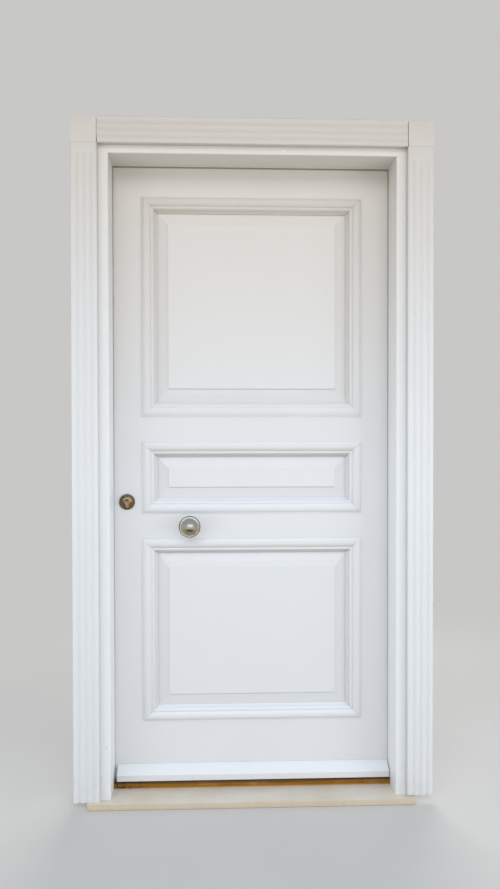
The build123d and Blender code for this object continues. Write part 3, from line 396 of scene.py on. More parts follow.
def makePaint(name, coat, along, panels=False):
    # painted shade darkens and warms the paint towards the head
    material, tree, shader, place = newMaterial(name)
    colour = useGroup(tree, tintGroup, (-900, 300), {
        "Vector": place, "Base": coat["white"], "Tint": coat["drift"],
        "Scale": paint["driftScale"], "Amount": paint["driftShare"],
    })["Color"]
    if "paintedRevealLight" in coat:
        # painted light: the sides of the opening are painted whiter, standing in for the light that reaches
        # them
        colour = addSideShading(tree, (-1300, -900), colour, coat["paintedRevealLight"])
    height = spread(tree, (-700, 100), axes(tree, (-900, 100), place)["Z"], *paint["headShadeHeights"])
    rise = compute(tree, (-550, 100), "POWER", height, coat["rise"])
    colour = layer(tree, (-250, 300), colour, coat["paintedHeadShade"], rise, coat["share"])
    colour = useGroup(tree, dustGroup, (-100, 300), {
        "Vector": place, "Color": colour, "Dust": paint["splash"], "Foot": coat["foot"],
        "Reach": paint["splashReach"], "Amount": coat["splash"], "Scale": paint["splashScale"],
    })["Color"]
    # painted shade under ledges, painted sky light on upward faces and a painted shadow line at the stops
    if "paintedShade" in coat:
        colour = addLedgeShading(tree, place, colour, coat["paintedShade"])
        colour = addGapShadow(tree, place, colour)
    if panels:
        # painted shadows at the foot of each raised field, and painted shade on the side bevels, set the
        # flat field off
        colour = addFieldShadows(tree, place, colour)
        colour = addSideShading(tree, (-200, 2400), colour, coat["bevel"])
    patches = noise(tree, (-600, -600), place, paint["patches"], detail=4.0)
    roughness = spread(tree, (-200, -100), patches, *paint["patchEdges"], *paint["roughness"])
    film = useGroup(tree, brushGroup, (-600, -300), {"Vector": place, "Along": along})["Height"]
    setSurface(tree, shader, colour, roughness, film, paint["bump"])
    return material


paints = {}
for coat in ("casing", "lining", "leaf"):
    for direction in ("upright", "level"):
        materialName = coat + "Paint" + direction.capitalize()
        paints[coat, direction] = makePaint(materialName, coats[coat], paint[direction])
panelPaint = makePaint("panelPaint", coats["leaf"], paint["upright"], panels=True)
topMouldingShadedPaint = makePaint("topMouldingShadedPaint", coats["topMoulding"], paint["upright"])


hardwood = {
    "light": (0.31, 0.135, 0.009, 1), "dark": (0.10, 0.040, 0.005, 1),
    "rings": 26.0, "bend": 30.0, "along": (0.05, 1.0, 1.0),
    "pore": (0.05, 0.02, 0.008, 1), "pores": 900.0, "poreAlong": (0.02, 1.0, 1.0), "poreShare": 0.6,
    "worn": (0.42, 0.30, 0.17, 1), "wornScale": 22.0, "wornShare": 0.35,
    "golden": (0.50, 0.22, 0.012, 1), "foot": (0.0275, 0.0225), "goldenShare": 0.6,
    "underBarShade": (0.065, 0.036, 0.013, 1), "underBarShadeShare": 0.9,
    "top": (0.0320, 0.0375),  # the upper arris, darkened as painted shade under the weather bar
    "stain": (0.030, 0.009, 0.005, 1), "stained": (-0.33, -0.42),  # x of the lock side's water stains
    "stainScale": 75.0, "stainShare": 0.85,
    "roughness": (0.42, 0.65), "specular": 0.3, "bump": (0.4, 0.0002),
}


def makeHardwood():
    material, tree, shader, place = newMaterial("varnishedHardwood")
    grain = stretch(tree, (-1100, 200), place, hardwood["along"])
    bend = noise(tree, (-900, 0), grain, hardwood["bend"], detail=3.0, roughness=0.55)
    wave = addNode(tree, "ShaderNodeTexWave", (-650, 250), {
        "Vector": grain, "Scale": hardwood["rings"], "Distortion": 7.0, "Detail": 3.0, "Detail Scale": 1.6,
    }, wave_type="BANDS", bands_direction="Z").outputs["Fac"]
    rings = product(tree, (-400, 100), compute(tree, (-500, 250), "ADD", wave, bend), 0.5)
    colour = mixColours(tree, (-200, 200), rings, hardwood["dark"], hardwood["light"])
    poreGrain = stretch(tree, (-1100, -250), place, hardwood["poreAlong"])
    pores = noise(tree, (-800, -250), poreGrain, hardwood["pores"], detail=2.0, roughness=0.7)
    poreMask = spread(tree, (-500, -250), pores, low=0.56, high=0.68)
    colour = layer(tree, (0, 200), colour, hardwood["pore"], poreMask, hardwood["poreShare"])
    patches = noise(tree, (-500, -600), place, hardwood["wornScale"], detail=6.0, roughness=0.65)
    worn = spread(tree, (-200, -600), patches, low=0.5, high=0.72)
    colour = layer(tree, (200, 200), colour, hardwood["worn"], worn, hardwood["wornShare"])
    parts = axes(tree, (0, 700), place)
    foot = spread(tree, (150, 700), parts["Z"], *hardwood["foot"])
    colour = layer(tree, (350, 200), colour, hardwood["golden"], foot, hardwood["goldenShare"])
    # painted shade along the upper arris, under the weather bar
    top = spread(tree, (150, 900), parts["Z"], *hardwood["top"])
    colour = layer(tree, (450, 200), colour, hardwood["underBarShade"], top, hardwood["underBarShadeShare"])
    blots = noise(tree, (0, 1100), place, hardwood["stainScale"], detail=3.0, roughness=0.6)
    blots = spread(tree, (150, 1100), blots, low=0.47, high=0.55)
    stains = product(tree, (250, 1100), blots, spread(tree, (150, 1300), parts["X"], *hardwood["stained"]))
    colour = layer(tree, (550, 200), colour, hardwood["stain"], stains, hardwood["stainShare"])
    shader.inputs["Specular IOR Level"].default_value = hardwood["specular"]
    roughness = spread(tree, (200, -200), worn, 0.0, 1.0, *hardwood["roughness"])
    setSurface(tree, shader, colour, roughness, pores, hardwood["bump"])
    return material


marble = {
    "cream": (0.75, 0.715, 0.65, 1), "warm": (0.66, 0.585, 0.48, 1), "clouds": 7.0, "cloudShare": 0.8,
    "vein": (0.42, 0.35, 0.27, 1), "veins": 9.0, "wander": 5.0, "wanderShare": 0.25, "veinShare": 0.35,
    "grit": (0.30, 0.25, 0.19, 1), "specks": 260.0, "speckPatches": 60.0, "gritShare": 0.7,
    "dirt": (0.33, 0.27, 0.19, 1), "dirtReach": 0.024, "dirtShare": 0.9, "dirtScale": 70.0,
    "trodden": (0.50, 0.41, 0.29, 1), "nose": (-0.0262, -0.0282),  # the front face, scuffed by shoes
    "troddenShare": 0.75, "roughness": (0.42, 0.62), "grain": 320.0, "bump": (0.3, 0.0004),
}


def makeMarble():
    material, tree, shader, place = newMaterial("honedCreamMarble")
    clouds = useGroup(tree, tintGroup, (-900, 400), {
        "Vector": place, "Base": marble["cream"], "Tint": marble["warm"],
        "Scale": marble["clouds"], "Amount": marble["cloudShare"],
    })
    wander = noise(tree, (-1100, 0), place, marble["wander"], detail=5.0, roughness=0.6)
    wander = product(tree, (-1000, -150), wander, marble["wanderShare"])
    shifted = addNode(tree, "ShaderNodeVectorMath", (-900, 0), {0: place, 1: wander}, operation="ADD")
    ridges = noise(
        tree, (-700, 0), shifted.outputs[0], marble["veins"], detail=5.0, noise_type="RIDGED_MULTIFRACTAL")
    veins = spread(tree, (-500, 0), ridges, low=0.75, high=1.25)
    colour = layer(tree, (-300, 300), clouds["Color"], marble["vein"], veins, marble["veinShare"])
    specks = addNode(tree, "ShaderNodeTexVoronoi", (-700, -300), {
        "Vector": place, "Scale": marble["specks"], "Randomness": 1.0,
    }).outputs["Distance"]
    speckPatches = noise(tree, (-700, -500), place, marble["speckPatches"], detail=2.0)
    sparse = spread(tree, (-500, -500), speckPatches, low=0.5, high=0.62)
    dots = product(tree, (-300, -350), spread(tree, (-500, -300), specks, low=0.16, high=0.06), sparse)
    colour = layer(tree, (-50, 300), colour, marble["grit"], dots, marble["gritShare"])
    colour = useGroup(tree, dustGroup, (150, 300), {
        "Vector": place, "Color": colour, "Dust": marble["dirt"], "Foot": 0.0,
        "Reach": marble["dirtReach"], "Amount": marble["dirtShare"], "Scale": marble["dirtScale"],
    })["Color"]
    front = spread(tree, (300, 600), axes(tree, (150, 600), place)["Y"], *marble["nose"])
    colour = layer(tree, (500, 300), colour, marble["trodden"], front, marble["troddenShare"])
    roughness = spread(tree, (200, -100), clouds["Mask"], 0.0, 1.0, *marble["roughness"])
    grain = noise(tree, (100, -500), place, marble["grain"], detail=4.0, roughness=0.6)
    setSurface(tree, shader, colour, roughness, grain, marble["bump"])
    return material


sealFinish = {
    "base": (0.035, 0.035, 0.036, 1), "tint": (0.09, 0.085, 0.08, 1), "scale": 18.0, "share": 0.7,
    "roughness": (0.55, 0.8), "grain": 700.0, "detail": 2.0, "bump": (0.3, 0.0001),
}
fillerFinish = {  # the filler over the nail heads has yellowed more than the paint round it
    "base": (0.70, 0.70, 0.69, 1), "tint": (0.58, 0.565, 0.54, 1), "scale": 300.0, "share": 0.8,
    "roughness": (0.5, 0.7), "grain": 900.0, "detail": 3.0, "bump": (0.4, 0.0002),
}


def makeDull(name, finish):
    material, tree, shader, place = newMaterial(name)
    drift = useGroup(tree, tintGroup, (-500, 200), {
        "Vector": place, "Base": finish["base"], "Tint": finish["tint"],
        "Scale": finish["scale"], "Amount": finish["share"],
    })
    roughness = spread(tree, (-200, -100), drift["Mask"], 0.0, 1.0, *finish["roughness"])
    grain = noise(tree, (-500, -300), place, finish["grain"], detail=finish["detail"])
    setSurface(tree, shader, drift["Color"], roughness, grain, finish["bump"])
    return material


varnishedHardwood = makeHardwood()
creamMarble = makeMarble()
sealRubber = makeDull("sealRubber", sealFinish)
nailFiller = makeDull("nailFiller", fillerFinish)


metalBump = (0.3, 0.00003)
nickel = {
    "clean": (0.47, 0.43, 0.37, 1), "tarnish": (0.30, 0.26, 0.205, 1), "clouds": 38.0, "share": 0.6,
    "scratches": (300, 300, 300), "roughness": (0.30, 0.42),
}
steel = {
    "clean": (0.60, 0.60, 0.59, 1), "tarnish": (0.42, 0.41, 0.39, 1), "clouds": 50.0, "share": 0.5,
    "scratches": (900, 900, 60), "roughness": (0.28, 0.45),
}
# A mark lies where its measures from the axis say, in metres: two numbers are a ramp from 0 to 1, and
# three are a band and the width of its soft ends. Reach is out from the axis.
# The knob's marks are painted reflections and highlights: sky above, ground below, a bright centre and rim,
# a dark outer arris.
knobMetal = {
    "clean": (0.62, 0.57, 0.48, 1), "tarnish": (0.40, 0.34, 0.25, 1), "clouds": 70.0, "share": 0.7,
    "scratches": (300, 300, 300), "roughness": (0.22, 0.34), "centre": (-0.203, 0.870),
    "marks": {
        "paintedGroundReflection": {"colour": (0.40, 0.33, 0.23, 1), "share": 0.8, "Above": (0.000, -0.012)},
        "paintedSkyReflection": {
            "colour": (0.44, 0.475, 0.50, 1), "share": 0.9,
            "Above": (0.010, 0.030, 0.008), "Reach": (0.012, 0.025, 0.004),
        },
        "paintedCentreHighlight": {
            "colour": (0.58, 0.565, 0.535, 1), "share": 1.0,
            "Above": (-0.002, 0.008, 0.006), "Reach": (0.020, 0.008),
        },
        "paintedDarkReflection": {
            "colour": (0.14, 0.10, 0.055, 1), "share": 0.9,
            "Above": (-0.013, -0.009, 0.004), "Aside": (0.016, 0.006),
        },
        "paintedFlatRimReflection": {"colour": (0.52, 0.48, 0.39, 1), "share": 1.0, "Reach": (0.0275, 0.0285)},
        "paintedRimHighlight": {
            "colour": (0.95, 0.95, 0.92, 1), "share": 1.0,
            "Above": (0.004, 0.022), "Reach": (0.0275, 0.0285),
        },
        "paintedArrisReflection": {"colour": (0.022, 0.018, 0.014, 1), "share": 0.95, "Reach": (0.0318, 0.0328)},
    },
}
lockBrass = {
    "clouds": 170.0, "share": 0.95, "scratches": (500, 500, 500), "roughness": (0.22, 0.46),
    "centre": (-0.408, 0.948),
}
lockFace = {
    **lockBrass, "clean": (0.26, 0.195, 0.075, 1), "tarnish": (0.032, 0.018, 0.009, 1),
    # the ring and rim marks are a painted highlight and a painted reflection
    "marks": {
        "copperSide": {"colour": (0.27, 0.13, 0.06, 1), "share": 0.6, "Across": (0.000, 0.014)},
        "paintedRingHighlight": {  # a painted highlight on the ring above the keyway
            "colour": (0.43, 0.39, 0.23, 1), "share": 0.85,
            "Above": (0.000, 0.006), "Reach": (0.010, 0.014, 0.002),
        },
        "paintedGreyRimReflection": {"colour": (0.19, 0.185, 0.17, 1), "share": 0.8, "Reach": (0.0215, 0.0235)},
    },
}


def cylinderMarks(gap):
    # a painted shadow fills the gap above the barrel, whose foot is plain brass
    return {
        "paintedShade": {"colour": (0.022, 0.016, 0.009, 1), "share": 1.0, "Above": (0.002, 0.005), "Reach": gap},
        "foot": {"colour": (0.13, 0.09, 0.03, 1), "share": 1.0, "Above": (-0.0165, -0.0185)},
    }


plug = {
    **lockBrass, "clean": (0.42, 0.36, 0.355, 1), "tarnish": (0.20, 0.15, 0.155, 1),
    "marks": cylinderMarks((0.0044, 0.0056)),
}
barrel = {
    **lockBrass, "clean": (0.56, 0.39, 0.25, 1), "tarnish": (0.28, 0.17, 0.09, 1),
    "marks": cylinderMarks((0.0056, 0.0066)),
}


def markMask(tree, place, value, limits):
    if len(limits) == 2:
        return spread(tree, place, value, *limits)
    low, high, soft = limits
    rise = spread(tree, place, value, low - soft, low)
    fall = spread(tree, (place[0], place[1] - 120), value, high + soft, high)
    return product(tree, (place[0] + 150, place[1]), rise, fall)


def addMarks(tree, place, colour, metal):
    spot = useGroup(tree, roundGroup, (-1100, 500), {
        "Vector": place, "Centre X": metal["centre"][0], "Centre Z": metal["centre"][1],
    })
    for index, mark in enumerate(metal["marks"].values()):
        shift = 150 * index
        masks = []
        for row, measure in enumerate(("Above", "Reach", "Across", "Aside")):
            if measure in mark:
                masks.append(markMask(tree, (shift - 850, 900 + 250 * row), spot[measure], mark[measure]))
        mask = product(tree, (shift - 600, 700), *masks)
        colour = layer(tree, (shift - 400, 300), colour, mark["colour"], mask, mark["share"])
    return colour


def makeMetal(name, metal):
    material, tree, shader, place = newMaterial(name)
    worn = useGroup(tree, metalGroup, (-900, 100), {
        "Vector": place, "Clean": metal["clean"], "Tarnish": metal["tarnish"], "Clouds": metal["clouds"],
        "Amount": metal["share"], "Scratches": metal["scratches"],
        "Roughness Low": metal["roughness"][0], "Roughness High": metal["roughness"][1],
    })
    colour = addMarks(tree, place, worn["Color"], metal) if "marks" in metal else worn["Color"]
    shader.inputs["Metallic"].default_value = 1.0
    setSurface(tree, shader, colour, worn["Roughness"], worn["Height"], metalBump)
    return material


slotMaterial = {
    "varnished_hardwood": varnishedHardwood, "marble": creamMarble, "seal_rubber": sealRubber,
    "satin_nickel": makeMetal("satinNickel", nickel), "lock_steel": makeMetal("zincSteel", steel),
    "aged_brass": makeMetal("agedBrass", lockFace),
}
nodeMaterial = {
    "key_plug": makeMetal("plugBrass", plug), "cylinder_body": makeMetal("barrelBrass", barrel),
    "knob": makeMetal("nickelWithPaintedReflections", knobMetal), "top_outside_moulding": topMouldingShadedPaint,
    "top_panel": panelPaint, "middle_panel": panelPaint, "bottom_panel": panelPaint,
}


def finishOf(name):
    if name in nodeMaterial:
        return nodeMaterial[name]
    if nodeSlot[name] in slotMaterial:
        return slotMaterial[nodeSlot[name]]
    coat = "casing" if name.endswith(("_casing", "_block")) else "lining"
    if nodeBody[name] == "leaf":
        coat = "leaf"
    isLevel = name.startswith("head_") or name.endswith("_rail") or name == "weather_bar"
    return paints[coat, "level" if isLevel else "upright"]


print("materials built")


# Pieces

def addPiece(name, mesh, material, body, replaced=()):
    piece = bpy.data.objects.new(name, mesh)
    bpy.context.scene.collection.objects.link(piece)
    mesh.materials.clear()
    mesh.materials.append(material)
    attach(piece, body)
    if replaced:
        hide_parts(*replaced)


easing = {
    "edges": {  # how far the outer arrises are eased, by the end of the node's name
        "sill": 0.0012, "threshold_bar": 0.001, "weather_bar": 0.0008,
        "_casing": 0.0008, "_block": 0.001, "_moulding": 0.0004,
    },
    "sharpAngle": 28.0, "smoothAngle": 32.0, "flatAngle": 0.4, "segments": 2, "weld": 0.00001,
    "flat": (  # boards and plates, whose broad faces stay dead flat
        "_stile", "_rail", "_jamb", "_stop", "_panel", "_block",
        "lock_case", "lock_cover", "faceplate", "strike_plate",
    ),
}


def weldedShape(node):
    # the CAD node's loose triangles joined at their corners
    shape = bmesh.new()
    shape.from_mesh(nodes[node].data)
    bmesh.ops.remove_doubles(shape, verts=shape.verts, dist=easing["weld"])
    return shape


def moveFieldEdges(shape, shifts):
    front = min(corner.co.y for corner in shape.verts) + fieldLine["stepDepth"]
    middle = sum(corner.co.z for corner in shape.verts) / len(shape.verts)
    for corner in shape.verts:
        if corner.co.y < front:
            corner.co.z += shifts[1 if corner.co.z > middle else 0]


def mergedCopy(node):
    # the CAD node as one closed mesh, with its outer arrises eased
    shape = weldedShape(node)
    if node in fieldShift:
        moveFieldEdges(shape, fieldShift[node])
    flatAngle = math.radians(easing["flatAngle"])
    bmesh.ops.dissolve_limit(shape, angle_limit=flatAngle, verts=shape.verts, edges=shape.edges)
    bmesh.ops.recalc_face_normals(shape, faces=shape.faces)
    for ending, size in easing["edges"].items():
        if node.endswith(ending):
            sharpAngle = math.radians(easing["sharpAngle"])
            whole = [line for line in shape.edges if len(line.link_faces) == 2]
            sharp = [line for line in whole if line.calc_face_angle(0) > sharpAngle]
            bmesh.ops.bevel(
                shape, geom=sharp, offset=size, offset_type="OFFSET", segments=easing["segments"],
                profile=0.5, affect="EDGES", clamp_overlap=True,
            )
    mesh = bpy.data.meshes.new(node + "_shape")
    shape.to_mesh(mesh)
    shape.free()
    if node.endswith(easing["flat"]):
        mesh.shade_flat()
    else:
        mesh.shade_smooth()
        mesh.set_sharp_from_angle(angle=math.radians(easing["smoothAngle"]))
    return mesh


screwNodes = ("frame_screws", "leaf_screws", "cylinder_screw")
for name in sorted(nodes):
    if name not in screwNodes:
        mesh = mergedCopy(name)
        addPiece(name + "_finished", mesh, finishOf(name), nodeBody[name], (name,))
print("pieces finished:", len(nodes) - len(screwNodes))


# What repeats: countersunk screws and filled nail holes

def moved(tree, place, geometry, shift, scale=(1, 1, 1)):
    return addNode(tree, "GeometryNodeTransform", place, {
        "Geometry": geometry, "Translation": shift, "Scale": scale,
    }).outputs["Geometry"]


def combined(tree, place, x=0.0, y=0.0, z=0.0):
    return addNode(tree, "ShaderNodeCombineXYZ", place, {"X": x, "Y": y, "Z": z}).outputs["Vector"]


def placeOnPoints(tree, given, results, shape, turnMost):
    # one copy on each point, its Z along the point's facing, turned by chance about it
    facing = addNode(tree, "GeometryNodeInputNamedAttribute", (200, -300), data_type="FLOAT_VECTOR")
    facing.inputs["Name"].default_value = "facing"
    aligned = addNode(tree, "FunctionNodeAlignRotationToVector", (400, -300), {
        "Vector": facing.outputs["Attribute"],
    }, axis="Z")
    turn = addNode(tree, "FunctionNodeRandomValue", (200, -600), {
        3: turnMost, "Seed": given["Seed"],
    }, data_type="FLOAT")
    spin = addNode(tree, "FunctionNodeEulerToRotation", (500, -600), {
        "Euler": combined(tree, (350, -600), z=turn.outputs[1]),
    })
    turned = addNode(tree, "FunctionNodeRotateRotation", (650, -400), {
        "Rotation": aligned.outputs["Rotation"], "Rotate By": spin.outputs["Rotation"],
    }, rotation_space="LOCAL")
    copies = addNode(tree, "GeometryNodeInstanceOnPoints", (850, 0), {
        "Points": given["Points"], "Instance": shape, "Rotation": turned.outputs["Rotation"],
    })
    real = addNode(tree, "GeometryNodeRealizeInstances", (1000, 0), {
        "Geometry": copies.outputs["Instances"],
    })
    finished = addNode(tree, "GeometryNodeSetMaterial", (1200, 0), {
        "Geometry": real.outputs["Geometry"], "Material": given["Material"],
    })
    feed(tree, finished.outputs["Geometry"], results["Geometry"])


def makeScrewTree():
    tree, given, results = newGroup("countersunkScrews", {
        "Points": (meshIn, None), "Head Radius": (floatIn, 0.004), "Shank Radius": (floatIn, 0.002),
        "Head Depth": (floatIn, 0.003), "Length": (floatIn, 0.027), "Slot Width": (floatIn, 0.001),
        "Slot Reach": (floatIn, 0.0026), "Slot Depth": (floatIn, 0.0016), "Head Sides": (wholeIn, 28),
        "Shank Sides": (wholeIn, 14), "Seed": (wholeIn, 1), "Material": (materialIn, None),
    }, {"Geometry": meshIn}, "GeometryNodeTree")
    cone = addNode(tree, "GeometryNodeMeshCone", (-1300, 400), {
        "Vertices": given["Head Sides"], "Radius Top": given["Head Radius"],
        "Radius Bottom": given["Shank Radius"], "Depth": given["Head Depth"],
    })
    sunk = combined(tree, (-1300, 200), z=product(tree, (-1450, 200), given["Head Depth"], -1.0))
    head = moved(tree, (-1100, 400), cone.outputs["Mesh"], sunk)
    reach = product(tree, (-1300, -100), given["Slot Reach"], 2.0)
    depth = product(tree, (-1300, -250), given["Slot Depth"], 2.0)
    recess = addNode(tree, "GeometryNodeMeshBoolean", (-600, 200), {
        "Mesh 1": head,
    }, operation="DIFFERENCE", solver="EXACT")
    level = combined(tree, (-1100, -50), reach, given["Slot Width"], depth)
    upright = combined(tree, (-1100, -250), given["Slot Width"], reach, depth)
    for index, size in enumerate((level, upright)):
        slot = addNode(tree, "GeometryNodeMeshCube", (-900, -50 - 200 * index), {"Size": size})
        feed(tree, slot.outputs["Mesh"], recess.inputs["Mesh 2"])
    rest = compute(tree, (-1300, -450), "SUBTRACT", given["Length"], given["Head Depth"])
    shank = addNode(tree, "GeometryNodeMeshCylinder", (-900, -500), {
        "Vertices": given["Shank Sides"], "Radius": given["Shank Radius"], "Depth": rest,
    })
    both = compute(tree, (-1300, -600), "ADD", given["Length"], given["Head Depth"])
    middle = combined(tree, (-900, -700), z=product(tree, (-1100, -700), both, -0.5))
    body = moved(tree, (-600, -500), shank.outputs["Mesh"], middle)
    whole = addNode(tree, "GeometryNodeJoinGeometry", (-300, 0))
    feed(tree, recess.outputs["Mesh"], whole.inputs["Geometry"])
    feed(tree, body, whole.inputs["Geometry"])
    placeOnPoints(tree, given, results, whole.outputs["Geometry"], math.pi / 2)
    return tree


def makeNailTree():
    tree, given, results = newGroup("filledNailHoles", {
        "Points": (meshIn, None), "Radius": (floatIn, 0.003), "Oval": (floatIn, 0.85),
        "Rise": (floatIn, 0.12), "Segments": (wholeIn, 20), "Rings": (wholeIn, 10),
        "Seed": (wholeIn, 1), "Material": (materialIn, None),
    }, {"Geometry": meshIn}, "GeometryNodeTree")
    ball = addNode(tree, "GeometryNodeMeshUVSphere", (-1000, 200), {
        "Segments": given["Segments"], "Rings": given["Rings"], "Radius": given["Radius"],
    })
    squash = combined(tree, (-1000, -100), 1.0, given["Oval"], given["Rise"])
    shape = moved(tree, (-600, 200), ball.outputs["Mesh"], (0, 0, 0), squash)
    placeOnPoints(tree, given, results, shape, math.pi)
    return tree


grownSmoothAngle = 30.0


def growFromPoints(name, points, tree, values):
    # points are pairs of place and facing; the evaluated result becomes a plain mesh
    seeds = bpy.data.meshes.new(name + "_points")
    seeds.from_pydata([place for place, facing in points], [], [])
    facings = seeds.attributes.new("facing", "FLOAT_VECTOR", "POINT")
    for index, (place, facing) in enumerate(points):
        facings.data[index].vector = facing
    holder = bpy.data.objects.new(name + "_points", seeds)
    bpy.context.scene.collection.objects.link(holder)
    modifier = holder.modifiers.new("grow", "NODES")
    modifier.node_group = tree
    for item in tree.interface.items_tree:
        if item.in_out == "INPUT" and item.name in values:
            modifier[item.identifier] = values[item.name]
    evaluated = holder.evaluated_get(bpy.context.evaluated_depsgraph_get())
    mesh = bpy.data.meshes.new_from_object(evaluated)
    mesh.name = name + "_shape"
    holder.modifiers.remove(modifier)
    bpy.data.objects.remove(holder)
    mesh.shade_smooth()
    mesh.set_sharp_from_angle(angle=math.radians(grownSmoothAngle))
    return mesh


def screwHead(shell):
    # the middle of the head's face and the way it looks: the head is at the screw's wider end
    low, high = min(corner.co.x for corner in shell), max(corner.co.x for corner in shell)
    near, far = min(corner.co.y for corner in shell), max(corner.co.y for corner in shell)
    foot, top = min(corner.co.z for corner in shell), max(corner.co.z for corner in shell)
    widest = max(shell, key=lambda corner: corner.co.z)
    outward = 1 if widest.co.x > (low + high) / 2 else -1
    return (high if outward > 0 else low, (near + far) / 2, (foot + top) / 2), (outward, 0, 0)


def screwHeads(node):
    # each CAD screw is its own shell
    shape = weldedShape(node)
    left = set(shape.verts)
    heads = []
    while left:
        shell, queue = set(), [min(left, key=lambda corner: corner.index)]
        while queue:
            corner = queue.pop()
            if corner in left:
                left.discard(corner)
                shell.add(corner)
                queue.extend(edge.other_vert(corner) for edge in corner.link_edges)
        heads.append(screwHead(shell))
    shape.free()
    return sorted(heads)


screwSizes = {
    "Head Radius": 0.0038, "Head Depth": 0.003, "Shank Radius": 0.00195, "Length": 0.027,
    "Slot Width": 0.0009, "Slot Reach": 0.0024, "Slot Depth": 0.0016, "Seed": 11,
}
longScrew = {**screwSizes, "Shank Radius": 0.0023, "Length": 0.058}
screwTree = makeScrewTree()
for name in screwNodes:
    screw = longScrew if name == "cylinder_screw" else screwSizes
    mesh = growFromPoints(name, screwHeads(name), screwTree, {**screw, "Material": finishOf(name)})
    addPiece(name + "_finished", mesh, finishOf(name), nodeBody[name], (name,))
print("screws made from points")

nailMarks = {
    "places": [(-0.463, 0.0, 0.185), (0.096, 0.0, 2.048)], "facing": (0, -1, 0),
    "sizes": {"Radius": 0.0046, "Rise": 0.07, "Seed": 5, "Material": nailFiller},
}
nailPoints = [(place, nailMarks["facing"]) for place in nailMarks["places"]]
mesh = growFromPoints("filled_nail_holes", nailPoints, makeNailTree(), nailMarks["sizes"])
addPiece("filled_nail_holes", mesh, nailFiller, nodeBody["left_stop"])
print("nail holes filled")


# Camera, floor and light

view = {
    "place": (-0.1392, -2.060, 1.0885),
    "turn": (-0.770, 0.122, -1.909),  # pitch, roll and yaw in degrees
    "focalPixels": 658.0,
    "shiftPixels": (-18.7, 23.0),
    "frameWidth": 500,
    "sensorWidth": 36.0,
    "clip": (0.05, 100.0),
}


def makeCamera():
    camera = bpy.data.cameras.new("photoCamera")
    camera.sensor_fit = "HORIZONTAL"
    camera.sensor_width = view["sensorWidth"]
    camera.lens = view["focalPixels"] * view["sensorWidth"] / view["frameWidth"]
    camera.shift_x = -view["shiftPixels"][0] / view["frameWidth"]
    camera.shift_y = view["shiftPixels"][1] / view["frameWidth"]
    camera.clip_start, camera.clip_end = view["clip"]
    holder = bpy.data.objects.new("photoCamera", camera)
    pitch, roll, yaw = (math.radians(angle) for angle in view["turn"])
    turned = Matrix.Rotation(yaw, 4, "Z") @ Matrix.Rotation(pitch, 4, "X") @ Matrix.Rotation(roll, 4, "Y")
    holder.matrix_world = Matrix.Translation(view["place"]) @ turned @ Matrix.Rotation(math.pi / 2, 4, "X")
    bpy.context.scene.collection.objects.link(holder)
    bpy.context.scene.camera = holder


backdrop = {
    "colour": (0.58, 0.575, 0.565, 1), "floor": (0.66, 0.65, 0.635, 1), "drift": (0.57, 0.565, 0.56, 1),
    "driftScale": 0.8, "driftShare": 0.5, "roughness": 0.9, "size": 60.0,
    "fadeStart": 0.9, "fadeEnd": 3.2,  # metres from the middle of the door
}


def seenDirectly(tree, place):
    # 1 for camera, glossy and transmission rays, which meet the backdrop itself and not its light
    across, up = place
    rays = addNode(tree, "ShaderNodeLightPath", place).outputs
    seen = compute(tree, (across + 200, up), "MAXIMUM", rays["Is Camera Ray"], rays["Is Transmission Ray"])
    return compute(tree, (across + 400, up), "MAXIMUM", seen, rays["Is Glossy Ray"])


def makeFloor():
    mesh = bpy.data.meshes.new("paleFloor")
    half = backdrop["size"] / 2
    corners = [(-half, -half, 0), (half, -half, 0), (half, half, 0), (-half, half, 0)]
    mesh.from_pydata(corners, [], [(0, 1, 2, 3)])
    material, tree, shader, place = newMaterial("paleFloor")
    drift = useGroup(tree, tintGroup, (-200, 100), {
        "Vector": place, "Base": backdrop["floor"], "Tint": backdrop["drift"],
        "Scale": backdrop["driftScale"], "Amount": backdrop["driftShare"],
    })
    feed(tree, drift["Color"], shader.inputs["Base Color"])
    shader.inputs["Roughness"].default_value = backdrop["roughness"]
    far = addNode(tree, "ShaderNodeVectorMath", (0, 400), {0: place}, operation="LENGTH")
    fade = addNode(tree, "ShaderNodeMapRange", (200, 400), {
        "Value": far.outputs["Value"], "From Min": backdrop["fadeStart"], "From Max": backdrop["fadeEnd"],
    }, interpolation_type="SMOOTHSTEP")
    share = product(tree, (400, 500), fade.outputs["Result"], seenDirectly(tree, (0, 700)))
    glow = addNode(tree, "ShaderNodeEmission", (700, 300), {"Color": backdrop["colour"], "Strength": 1.0})
    blend = addNode(tree, "ShaderNodeMixShader", (900, 200), {
        0: share, 1: shader.outputs[0], 2: glow.outputs[0],
    })
    feed(tree, blend.outputs[0], tree.nodes["Material Output"].inputs["Surface"])
    mesh.materials.append(material)
    floor = bpy.data.objects.new("paleFloor", mesh)
    bpy.context.scene.collection.objects.link(floor)


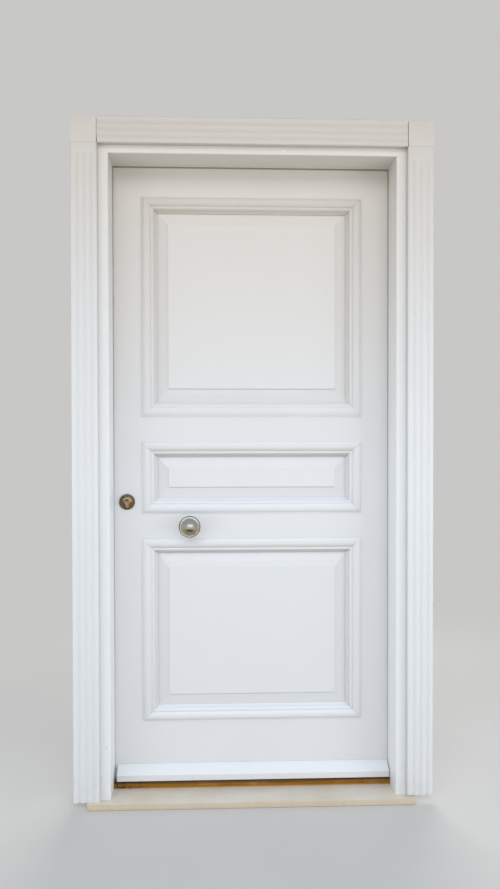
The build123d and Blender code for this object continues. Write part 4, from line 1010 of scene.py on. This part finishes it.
lamps = {
    "sky": {
        "place": (-0.2, -4.0, 4.3), "aim": (0, 0, 1.0), "size": (6.0, 2.4),
        "watts": 119, "colour": (0.87, 0.94, 1.0), "reflected": False,
    },
    "front": {
        "place": (0.3, -5.2, 1.5), "aim": (0, 0, 1.0), "size": (4.4, 1.8),
        "watts": 32, "colour": (0.93, 0.965, 1.0), "reflected": True,
    },
    "ground": {
        "place": (0, -3.2, 0.08), "aim": (0, 0, 1.3), "size": (5.0, 2.0),
        "watts": 19, "colour": (1.0, 0.955, 0.89), "reflected": False,
    },
    "left": {
        "place": (-3.6, -2.4, 0.9), "aim": (0, 0, 0.7), "size": (2.4, 2.0),
        "watts": 50, "colour": (0.91, 0.96, 1.0), "reflected": False,
    },
    "right": {
        "place": (3.6, -2.4, 0.9), "aim": (0, 0, 0.7), "size": (2.4, 2.0),
        "watts": 68, "colour": (0.91, 0.96, 1.0), "reflected": False,
    },
    "room": {
        "place": (0.8, 3.4, 3.2), "aim": (0, 0.1, 0.9), "size": (3.4, 2.4),
        "watts": 95, "colour": (1.0, 0.985, 0.96), "reflected": True,
    },
}
ambient = {"strength": 0.40, "colour": (0.955, 0.98, 1.0, 1)}


def makeLights():
    for name, lamp in lamps.items():
        light = bpy.data.lights.new(name, "AREA")
        light.shape = "RECTANGLE"
        light.size, light.size_y = lamp["size"]
        light.energy = lamp["watts"]
        light.color = lamp["colour"]
        holder = bpy.data.objects.new(name, light)
        holder.location = lamp["place"]
        holder.visible_glossy = lamp["reflected"]
        beam = Vector(lamp["aim"]) - Vector(lamp["place"])
        holder.rotation_euler = beam.to_track_quat("-Z", "Y").to_euler()
        bpy.context.scene.collection.objects.link(holder)


def makeWorld():
    world = bpy.data.worlds.new("studio")
    bpy.context.scene.world = world
    world.use_nodes = True
    tree = world.node_tree
    tree.nodes.clear()
    lit = addNode(tree, "ShaderNodeBackground", (-200, 0), {
        "Color": ambient["colour"], "Strength": ambient["strength"],
    })
    shown = addNode(tree, "ShaderNodeBackground", (-200, -200), {
        "Color": backdrop["colour"], "Strength": 1.0,
    })
    mix = addNode(tree, "ShaderNodeMixShader", (0, 0), {
        0: seenDirectly(tree, (-600, 300)), 1: lit.outputs[0], 2: shown.outputs[0],
    })
    addNode(tree, "ShaderNodeOutputWorld", (200, 0), {"Surface": mix.outputs[0]})


makeCamera()
makeFloor()
makeLights()
makeWorld()
bpy.context.scene.view_settings.view_transform = "Standard"
print("camera, floor and lights placed")
